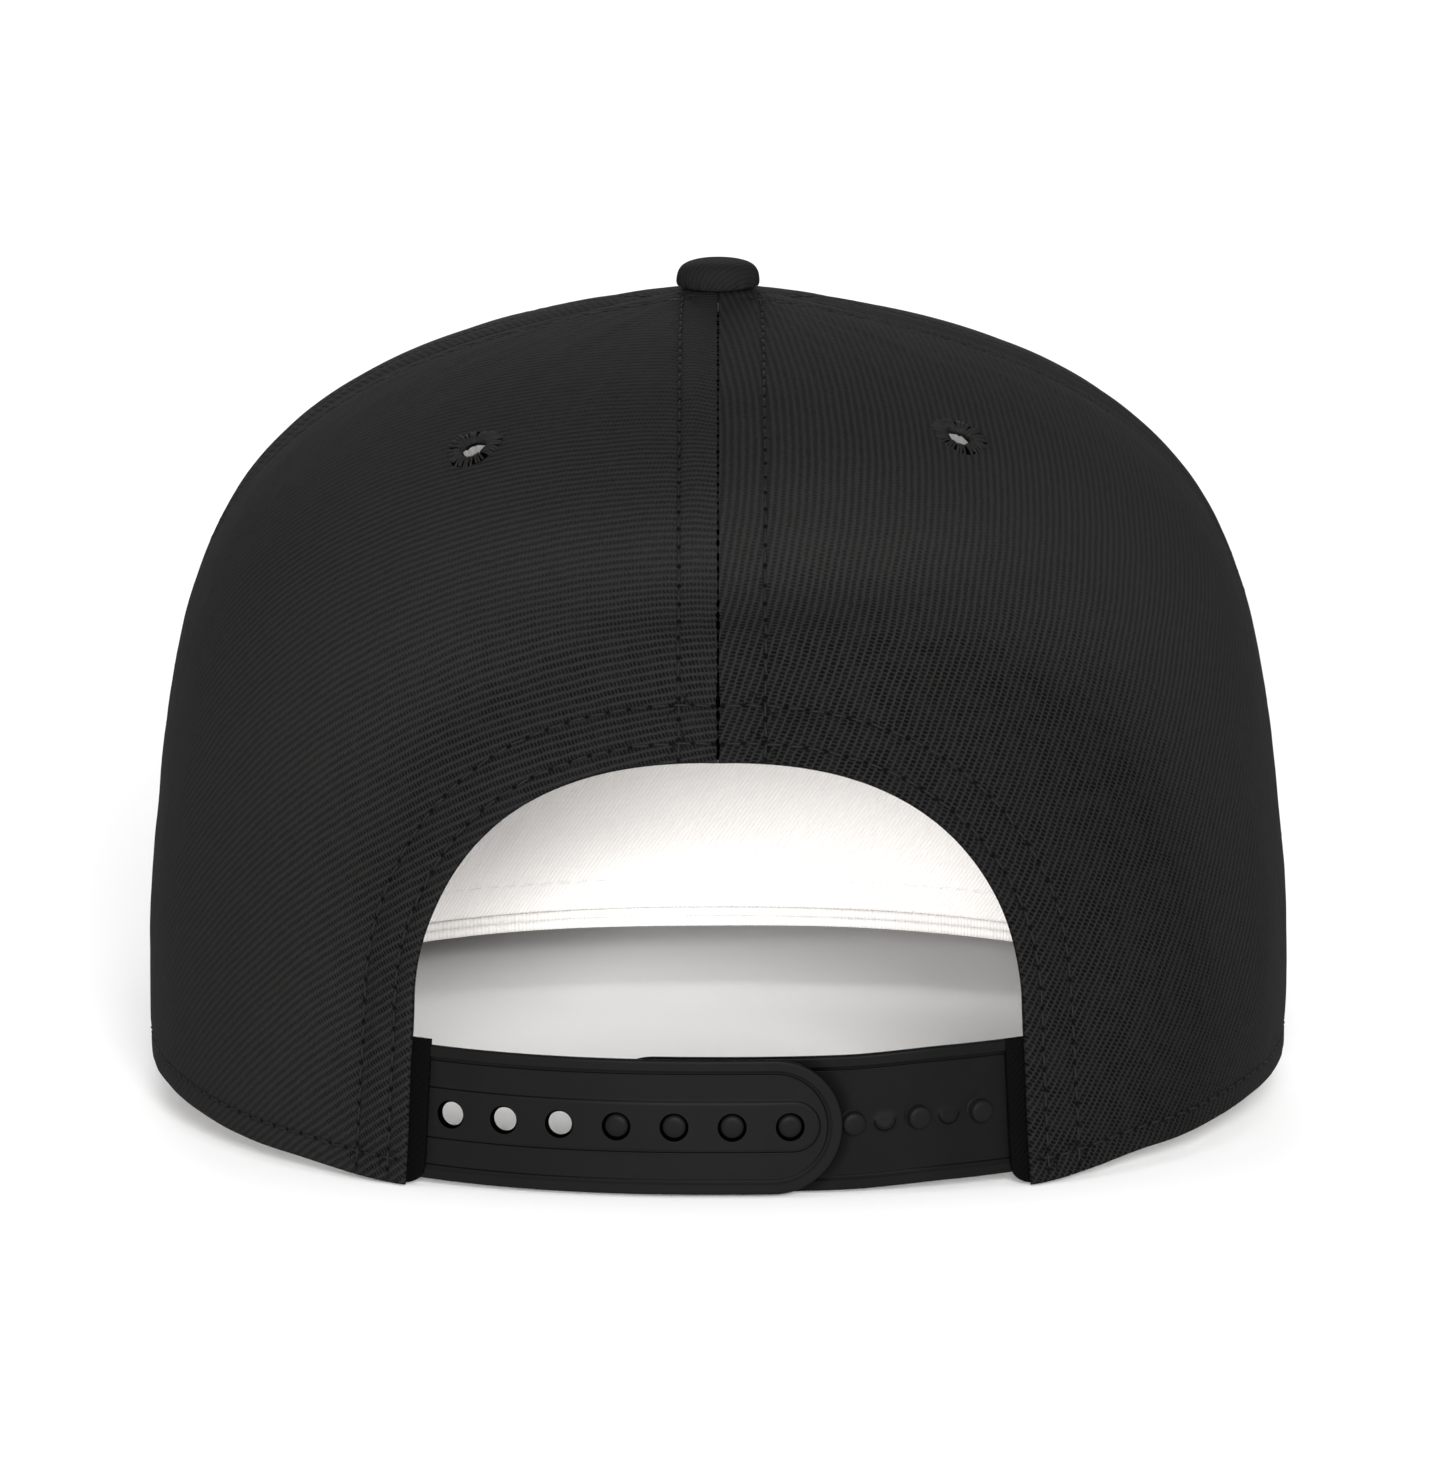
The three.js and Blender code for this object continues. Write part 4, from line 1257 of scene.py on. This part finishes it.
def peak_half(name, face, material, slot, nodes, thread_material):
    """The upper or lower cloth of the peak with its half of the board."""
    levels = graded(PEAK_LENGTH, 1.5, 1.0, 0.2)
    columns = 2 * graded(PEAK_EDGE_LENGTH, 1.6, 0.25, 0.25) - 1
    top = peak_grid(levels, columns)
    flat = top.reshape(-1, 3)
    rows = peak_rows(face)
    surface = flat if face > 0 else flat - [0, 0, PEAK_THICKNESS]
    distance, stitches, near = rows.measure(surface)
    press = pressed(distance, stitches, 0.3, 0.05)
    edge = rounded(border_distance(flat, [top[-1], top[:, 0], top[:, -1]]), PEAK_THICKNESS)
    half = PEAK_THICKNESS / 2
    middle = flat - [0, 0, half]
    lump = 0.12 * np.sin(flat[:, 0] / 11.0 + 1) * np.sin(flat[:, 1] / 9.0)
    shown = middle + face * UP * (half * (1 - edge) - press + lump * (1 - edge))[:, None]
    hidden = middle - face * UP * 0.02
    faces, count = shell_faces(every_cell(top))
    if face > 0:
        faces = faces[:, ::-1]
    mesh = mesh_of(
        name, np.concatenate([shown, hidden]), faces.tolist(),
        weave=both(turned(flat[:, 0], flat[:, 1], 45)),
        row=both(np.stack([distance, stitches], -1)),
        row_near=np.concatenate([near, 0 * near]),
    )
    # The edge is bound in black twill, and the wall at the root, under the front rim, is pale
    bound = both(edge > 0.01)
    which = np.where(bound[faces].all(axis=1), 2, 0)
    which[count:count + len(columns) - 1] = 1
    half_peak = new_object(name, mesh, material, BAND_COTTON, CLOTH_TWILL)
    mesh.polygons.foreach_set("material_index", which)
    keep(half_peak, slot, *nodes)
    thread_piece("stitches_" + name, thread_material, *rows.threads())


peak_half("peak_upper", 1, CLOTH_TWILL, "cloth", ["peak"], THREAD)
peak_half("peak_under", -1, BAND_COTTON, "band", [], PALE_THREAD)


def sweatband():
    """The tape inside the rim, open at the back, with a hem and two rows of stitches."""
    end = float(angle_at_x(ARCH_FOOT_HALF_WIDTH + BAND_END_MARGIN, 0.0))
    shares = graded(BAND_LENGTH, 1.8, 0.2, 0.2)
    levels = graded(BAND_HEIGHT, 1.2, EDGE_STEP, EDGE_STEP)
    angle = np.repeat(mix(-end, end, shares)[None, :], len(levels), 0)
    height = np.repeat(BAND_RISE + mix(-BAND_COVER, BAND_HEIGHT, levels[:, None]), len(shares), 1)
    ease = smooth((np.abs(angle) - end + BAND_EASE_ANGLE) / (BAND_EASE_ANGLE / 2))
    up = np.maximum(height - BAND_RISE, 0) / BAND_HEIGHT
    turn = np.radians(angle)
    wave = 0.35 * np.sin(7 * turn + 2.2 * up) * np.sin(math.pi * up) + 0.18 * np.sin(19 * turn + 3 * up)
    depth = mix(FIRST_DEPTH, SECOND_DEPTH, ease) + np.maximum(wave, -0.2) * np.sin(math.pi * up) ** 0.5
    hem = 0.35 * smooth((0.16 - up) / 0.02) + 0.25 * smooth((up - 0.9) / 0.02)
    outer = wall_point(angle, depth, height)
    inner = wall_point(angle, depth + BAND_THICKNESS + hem, height)
    inward = unit(inner - outer)
    rows = Rows()
    for at in BAND_ROWS:
        level = int(np.argmin(np.abs(up[:, 0] - at)))
        rows.add(inner[level], inward[level])
    distance, stitches, _ = rows.measure(inner.reshape(-1, 3))
    press = pressed(distance, stitches, 0.2, 0.0).reshape(angle.shape)[..., None]
    borders = [outer[0], outer[-1], outer[:, 0], outer[:, -1]]
    edge = rounded(border_distance(outer.reshape(-1, 3), borders), BAND_THICKNESS).reshape(angle.shape)
    pull = (edge * BAND_THICKNESS / 2)[..., None] * inward
    sheets = np.concatenate([outer + pull, inner - pull - inward * press]).reshape(-1, 3)
    faces, _ = shell_faces(every_cell(angle))
    weave = np.stack([turn.ravel() * HALF_WIDTH, height.ravel()], -1)
    mesh = mesh_of("sweatband_cotton", sheets, faces.tolist(), weave=both(weave))
    keep(new_object("sweatband_cotton", mesh, BAND_COTTON), "band", "sweatband")
    thread_piece("stitches_sweatband", PALE_THREAD, *rows.threads())


sweatband()


def strap_route():
    """The strap's route round the back of the rim: lengths from its middle, points, outward directions."""
    steps = 720
    angle = 180.0 - 90.0 * np.arange(-steps, steps + 1) / steps
    angle = np.where(angle > 180, angle - 360, angle)
    points = wall_point(angle, FIRST_DEPTH, 0.0)[:, :2]
    lengths = lengths_along(points)
    tangents = directions(points)
    outward = np.stack([-tangents[:, 1], tangents[:, 0]], -1)
    for column in outward.T:
        column[:] = averaged(column, 25)
    return lengths - lengths[steps], points, unit(outward)


def averaged(values, count):
    """Each value's mean with its neighbours, over a count of values."""
    padded = np.pad(values, count // 2, mode="edge")
    return np.convolve(padded, np.ones(count) / count, mode="valid")


ROUTE_LENGTHS, ROUTE_POINTS, ROUTE_OUTWARD = strap_route()
STRAP_END = STRAP_ANCHOR + float(np.interp(ARCH_FOOT_HALF_WIDTH, ROUTE_POINTS[:, 0], ROUTE_LENGTHS))


def on_route(distance, out, height):
    """Points at distances along the strap, millimetres outside its route and a height above the rim."""
    away = unit(along_line(ROUTE_OUTWARD, ROUTE_LENGTHS, distance))
    flat = along_line(ROUTE_POINTS, ROUTE_LENGTHS, distance) + away * np.asarray(out)[..., None]
    return np.concatenate([flat, np.asarray(height + 0 * out)[..., None]], -1)


def pegged_shift(distance):
    share = smooth((HOLED_TIP - GAP - distance) / STRAP_EASE_LENGTH)
    return mix(SECOND_DEPTH - FIRST_DEPTH, 0.0, share), mix(0.0, PEGGED_END_RISE, share)


def strap_plate(end, tip, shift_at, face_at, lines_at):
    """A strap half between an outer and an inner sheet, whose lines bend round its tip."""
    half = STRAP_WIDTH / 2
    bevel = 0.32
    toward = math.copysign(1.0, tip - end)
    straight = abs(tip - end) - half
    across = 2 * graded(STRAP_WIDTH, 0.32, 0.1, 0.1) - 1
    steps = graded(straight, 0.45, 0.3, 0.25) * straight
    turn = np.linspace(0, math.pi / 2, 45)[1:]
    round_tip = straight + half * np.abs(across) * np.sin(turn)[:, None]
    ahead = np.concatenate([np.repeat(steps[:, None], len(across), 1), round_tip])
    s = end + toward * ahead
    t = half * across * np.concatenate([np.ones(len(steps)), np.cos(turn)])[:, None]
    inside = np.minimum(half * (1 - np.abs(across)), ahead)
    depth, rise = shift_at(s)
    soft = bevel * (1 - np.sqrt(np.clip(1 - (1 - np.minimum(inside / bevel, 1)) ** 2, 0, 1)))
    out = face_at(s, t, inside) - STRAP_RIM_RISE - soft
    height = STRAP_MIDDLE + rise + t
    sheets = [on_route(s, out - depth, height), on_route(s, -STRAP_THICKNESS + soft - depth, height)]
    faces, count = shell_faces(every_cell(s))
    # The sheets' last rows close on themselves at the tip, so they have no wall
    rows, columns = s.shape[0] - 1, s.shape[1] - 1
    tip_wall = count + columns + rows
    faces = np.delete(faces, slice(tip_wall, tip_wall + columns), axis=0)
    if toward < 0:
        faces = faces[:, ::-1]
    lines = np.stack([inside.ravel(), lines_at(s, t).ravel()], -1)
    dark = strap_shade(s, t).ravel() * (1.0 if tip > 0 else 0.0)
    points = np.concatenate(sheets).reshape(-1, 3)
    mesh = mesh_of("strap", points, faces.tolist(), lines=both(lines), shade=both(dark))
    soup = bmesh.new()
    soup.from_mesh(mesh)
    bmesh.ops.remove_doubles(soup, verts=soup.verts, dist=0.0005 * MM)
    soup.to_mesh(mesh)
    soup.free()
    return mesh


def strap_shade(s, t):
    """Painted shade on the pegged half: under the holed half, just past its tip, beside the cloth, and a
    little all over.
    """
    past = np.maximum(HOLED_TIP + STRAP_WIDTH / 2 - s, 0)
    beyond = np.hypot(past, t) - STRAP_WIDTH / 2
    tip = 1 - smooth((beyond - 0.2) / 3.2)
    side = smooth((-s - STRAP_END + STRAP_ANCHOR + 3.6) / 2.6)
    return np.maximum(np.maximum(tip, 0.9 * side), 0.28)


def strap_rim(inside):
    return STRAP_RIM_RISE * (1 - smooth((inside - STRAP_RIM_WIDTH + 0.25) / 0.5))


def band_inset(s, t):
    """How far a point of the holed half lies inside its central band, which ends in a half round."""
    return CENTRAL_BAND_HALF - np.hypot(np.minimum(s - (FIRST_JOINT - 0.6), 0), t)


def holed_face(s, t, inside):
    """Raised rim and a slightly raised central band."""
    return strap_rim(inside) + 0.14 * smooth((band_inset(s, t) + 0.1) / 0.4)


def scallop_distance(s, t):
    """Distance outside the nearest of the half rounds between the free pegs."""
    centres = [FIRST_JOINT - FREE_PEG_PITCH * (k + 1.5) for k in range(FREE_PEGS - 1)]
    return np.min([np.hypot(s - centre, t + 0.1) for centre in centres], axis=0) - SCALLOP_RADIUS


def scallop_line(s, t):
    """The same distance below the half rounds' straight sides, and a large one above them."""
    return scallop_distance(s, t) + 9.0 * smooth((t - 0.1) / 0.5)


def pegged_face(s, t, inside):
    """Raised rims and shallow half rounds between the free pegs."""
    rise = np.clip((1.35 - t) / 2.9, 0, 1)
    return strap_rim(inside) + 0.4 * rise * (1 - smooth((scallop_distance(s, t) + 0.25) / 0.35))


def turned_on_strap(distance, profile, rise, sides=40):
    """A round body standing out from the strap: its profile holds pairs of a radius and a way out."""
    turn = round_turns(sides)
    centre = on_route(distance, 0.0, STRAP_MIDDLE + rise)
    away = on_route(distance, 1.0, STRAP_MIDDLE + rise) - centre
    ring = ring_of(turn, np.array([away[1], -away[0], 0.0]), UP)
    points = np.concatenate([centre + away * out + reach * ring for reach, out in profile])
    return points, ring_faces(len(profile), sides, flipped=True)


def cut(thing, cutter):
    """Cuts one mesh out of another and forgets the cutter."""
    modifier = thing.modifiers.new("holes", "BOOLEAN")
    modifier.operation = "DIFFERENCE"
    modifier.solver = "EXACT"
    modifier.object = cutter
    graph = bpy.context.evaluated_depsgraph_get()
    mesh = bpy.data.meshes.new_from_object(thing.evaluated_get(graph))
    thing.modifiers.clear()
    old = thing.data
    thing.data = mesh
    bpy.data.meshes.remove(old)
    bpy.data.objects.remove(cutter)


def sharpen(mesh, degrees):
    """Keeps edges sharper than this sharp in the smooth shading."""
    mesh.polygons.foreach_set("use_smooth", [True] * len(mesh.polygons))
    mesh.set_sharp_from_angle(angle=math.radians(degrees))


def holed_half():
    plate = strap_plate(STRAP_END, HOLED_TIP, lambda s: (0 * s, 0 * s), holed_face, band_inset)
    thing = new_object("strap_holed_half", plate, STRAP_PLASTIC, BORE_SHADE_PLASTIC)
    wide, narrow = HOLE_DIAMETER / 2, PEG_DIAMETER / 2 + 0.1
    bore = [(narrow, -3.0), (narrow, -0.95), (wide, -0.82), (wide, 1.0)]
    pins = joined([turned_on_strap(distance, bore, 0.0, 48) for distance in HOLE_PLACES])
    cutter = new_object("strap_cutter", mesh_of("strap_cutter", *pins), STRAP_PLASTIC, BORE_SHADE_PLASTIC)
    # The cutter's faces leave the holes' walls in the nearly black shade plastic
    cutter.data.polygons.foreach_set("material_index", [1] * len(cutter.data.polygons))
    cut(thing, cutter)
    sharpen(thing.data, PLATE_SHARP_ANGLE)
    keep(thing, "strap_plastic", "strap_holes")


def pegged_half():
    plate = strap_plate(-STRAP_END, PEGGED_TIP, pegged_shift, pegged_face, scallop_line)
    sharpen(plate, PLATE_SHARP_ANGLE)
    keep(new_object("strap_pegged_half", plate, STRAP_PLASTIC), "strap_plastic", "strap_pegs")


def round_pegs():
    """The joined pegs and the free ones, each a round post with a small foot and a rounded end."""
    free = [FIRST_JOINT - FREE_PEG_PITCH * (k + 1) for k in range(FREE_PEGS)]
    reach = PEG_DIAMETER / 2
    pegs = []
    for distance in HOLE_PLACES[:JOINED_PEGS] + free:
        depth, rise = (float(v) for v in pegged_shift(distance))
        face = -depth - STRAP_RIM_RISE
        end = face + PEG_STANDOUT
        profile = [
            (reach + 0.25, face - 0.3),
            (reach + 0.25, face),
            (reach + 0.08, face + 0.1),
            (reach, face + 0.3),
            (reach, end - 0.3),
            (reach * 0.96, end - 0.12),
            (reach * 0.86, end),
            (reach * 0.5, end + 0.05),
            (reach * 0.15, end + 0.06),
        ]
        pegs.append(turned_on_strap(distance, profile, rise))
    points, faces = joined(pegs)
    off_lines = np.full((len(points), 2), 9.0)
    mesh = mesh_of("strap_pegs_round", points, faces, lines=off_lines)
    sharpen(mesh, PEG_SHARP_ANGLE)
    keep(new_object("strap_pegs_round", mesh, STRAP_PLASTIC), "strap_plastic")


holed_half()
pegged_half()
round_pegs()


def frame_at(angle, height):
    """A point of the crown with its outward, round and up directions."""
    point, outward = crown_line(angle, place_at_height(height))
    around = unit(np.cross(UP, outward))
    return point, outward, around, np.cross(outward, around)


# An eyelet's pad and the stitches over it, as pairs of a radius and millimetres out of the cloth
EYELET_PAD = ((2.05, -0.95), (2.4, -1.0), (2.65, -0.6), (4.1, -0.35), (4.15, -0.04),
              (3.2, 0.06), (2.6, 0.08), (2.2, -0.12), (2.05, -0.5))
EYELET_STITCH = ((2.0, -0.8), (1.95, -0.25), (2.25, 0.1), (2.9, 0.18),
                 (3.6, 0.13), (4.2, 0.0), (4.42, -0.3))
EYELET_STITCHES = 40
EYELET_INNER_RADIUS = 2.0


def sewn_eyelet(name, angle, height):
    """Radial stitches over the edge of a small hole, on a low pad with a thread-lined sleeve."""
    centre, outward, around, up = frame_at(angle, height)
    sides = 56
    turn = round_turns(sides)
    ragged = 1 + 0.07 * np.sin(3 * turn + angle) + 0.05 * np.sin(5 * turn + 2 * angle)
    ring = ragged[:, None] * ring_of(turn, around, up)
    pad = np.concatenate([centre + outward * out + reach * ring for reach, out in EYELET_PAD])
    pad_faces = ring_faces(len(EYELET_PAD), sides, closed=True)
    parts = [(pad, pad_faces)]
    for k in range(EYELET_STITCHES):
        low = math.sin(2 * math.pi * k / EYELET_STITCHES) < 0.15
        direction = 2 * math.pi * (k + rng.uniform(-0.3, 0.3) * (1.4 if low else 0.6)) / EYELET_STITCHES
        stretch = rng.uniform(0.85, 1.08)
        girth = rng.uniform(0.17, 0.25) if low else rng.uniform(0.24, 0.29)
        lean = rng.normal(0, 0.07)
        core = []
        for reach, out in EYELET_STITCH:
            if reach > EYELET_INNER_RADIUS:
                reach = mix(EYELET_INNER_RADIUS, reach, stretch)
            at = direction + lean * (reach - 1.5) / 3
            reach *= 1 + 0.07 * math.sin(3 * at + angle)
            sideways = math.cos(at) * around + math.sin(at) * up
            core.append(centre + outward * (out + rng.normal(0, 0.02)) + reach * sideways)
        parts.append(tube(np.array(core), girth))
    points, faces = joined(parts)
    mesh = mesh_of(name + "_sewn", points, faces)
    # The pad takes the nearly black seam thread, as painted shade between the stitches
    which = np.zeros(len(faces), int)
    which[:len(pad_faces)] = 1
    mesh.polygons.foreach_set("material_index", which)
    keep(new_object(name + "_sewn", mesh, EYELET_THREAD, SEAM_SHADE_THREAD), "thread", name)


for row in EYELETS:
    sewn_eyelet(*row)

# The button's round top: shares of its radius and of its height
BUTTON_DOME = ((0.93, 0.0), (0.985, 0.1), (1.0, 0.28), (0.99, 0.45), (0.955, 0.6), (0.88, 0.76),
               (0.76, 0.87), (0.6, 0.94), (0.4, 0.98), (0.2, 0.995), (0.03, 1.0))


def button_seat(distance):
    """Height at which the button clears the crown at a distance from the upright axis."""
    places = np.linspace(9.0, len(SECTIONS) - 1.001, 1200)
    heights = []
    for angle in (0.0, 45.0, 90.0, 180.0):
        place = np.interp(-distance, -radius(angle, places), places)
        heights.append(float(plain_point(angle, place)[2]))
    return GAP + max(heights)


def button():
    """The covered button: a low dome whose cloth is gathered at its lower edge, on a shank."""
    edge = button_seat(BUTTON_RADIUS)
    shank_foot = CROWN_HEIGHT - SHANK_LENGTH
    profile = [(0.05, shank_foot), (SHANK_RADIUS, shank_foot)]
    profile += [(reach, button_seat(reach)) for reach in (SHANK_RADIUS, 2.5, 4.2, 5.5)]
    profile += [(BUTTON_RADIUS * out, edge + BUTTON_HEIGHT * up) for out, up in BUTTON_DOME]
    line = np.array(profile)
    lengths = lengths_along(line)
    fine = np.linspace(0, lengths[-1], 110)
    reach, up = along_line(line, lengths, fine).T.copy()
    for values in (reach, up):
        values[40:-2] = averaged(values, 5)[40:-2]
    sides = 144
    turn = round_turns(sides)
    low = smooth(1 - (up - edge) / (0.5 * BUTTON_HEIGHT)) * (reach > 5)
    outer = smooth((reach - 3) / 3)[:, None]
    gather = low[:, None] * (0.1 * np.sin(17 * turn + 0.4) + 0.06 * np.sin(29 * turn))
    spread = reach[:, None] + gather + 0.1 * np.sin(2 * turn + 0.5) * outer
    height = up[:, None] + 0.05 * np.sin(3 * turn) * outer
    points = np.stack([spread * np.cos(turn), spread * np.sin(turn), height], -1).reshape(-1, 3)
    from_top = np.repeat(fine[-1] - fine, sides)[:, None] * unit(points[:, :2])
    weave = from_top @ np.array([[0.7, 0.7], [-0.7, 0.7]])
    mesh = mesh_of("button_cover", points, ring_faces(len(fine), sides), weave=weave)
    keep(new_object("button_cover", mesh, BUTTON_TWILL), "cloth", "button")


button()

# The camera fits the photograph's frame: millimetres in the shared frame, and pixels in the photograph
PHOTO_HEIGHT = 1465
FOCAL_PIXELS = 8890
CAMERA_DISTANCE = 1400.0
CAMERA_ELEVATION = math.radians(8.2)
CAMERA_TARGET = Vector((-0.3, 32.84, 55.2))
SENSOR = 36.0

# Studio light: name, place, size and watts
SOFTBOXES = (
    ("key", (0.2, 2.75, 0.46), 0.45, 74),
    ("fill", (-1.1, 2.6, 0.5), 0.8, 24),
    ("high", (-0.25, 2.6, 0.86), 0.6, 82),
    ("top", (0, 0.2, 3.4), 4.0, 12),
    ("far_side", (0.3, -2.8, 1.5), 1.6, 32),
)
LIGHT_TARGET = Vector((0, 0.03, 0.06))
WORLD_STRENGTH = 0.54
FLOOR_HALF = 12.0
FLOOR_SINK = 0.0002


def aim(thing, place, direction):
    thing.location = place
    thing.rotation_euler = direction.to_track_quat("-Z", "Y").to_euler()


def camera():
    data = bpy.data.cameras.new("camera")
    data.sensor_fit = "VERTICAL"
    data.sensor_height = SENSOR
    data.lens = SENSOR * FOCAL_PIXELS / PHOTO_HEIGHT
    data.clip_end = 50.0
    thing = new_object("camera", data)
    away = Vector((0, math.cos(CAMERA_ELEVATION), math.sin(CAMERA_ELEVATION)))
    aim(thing, (CAMERA_TARGET + away * CAMERA_DISTANCE) * MM, -away)
    bpy.context.scene.camera = thing


def softbox(name, place, size, watts):
    data = bpy.data.lights.new(name, "AREA")
    data.shape = "DISK"
    data.size = size
    data.energy = watts
    aim(new_object(name, data), place, LIGHT_TARGET - Vector(place))


def stage():
    mesh = bpy.data.meshes.new("floor")
    corners = [(-1, -1), (1, -1), (1, 1), (-1, 1)]
    mesh.from_pydata([(x * FLOOR_HALF, y * FLOOR_HALF, 0) for x, y in corners], [], [(0, 1, 2, 3)])
    floor = new_object("floor", mesh, floor_paint("pale_floor"))
    floor.location.z = -FLOOR_SINK
    world = bpy.data.worlds.new("studio")
    world.use_nodes = True
    background = world.node_tree.nodes["Background"]
    background.inputs["Color"].default_value = (1, 1, 1, 1)
    background.inputs["Strength"].default_value = WORLD_STRENGTH
    bpy.context.scene.world = world
    for row in SOFTBOXES:
        softbox(*row)
    bpy.context.scene.view_settings.view_transform = "Standard"


camera()
stage()

bpy.context.view_layer.update()
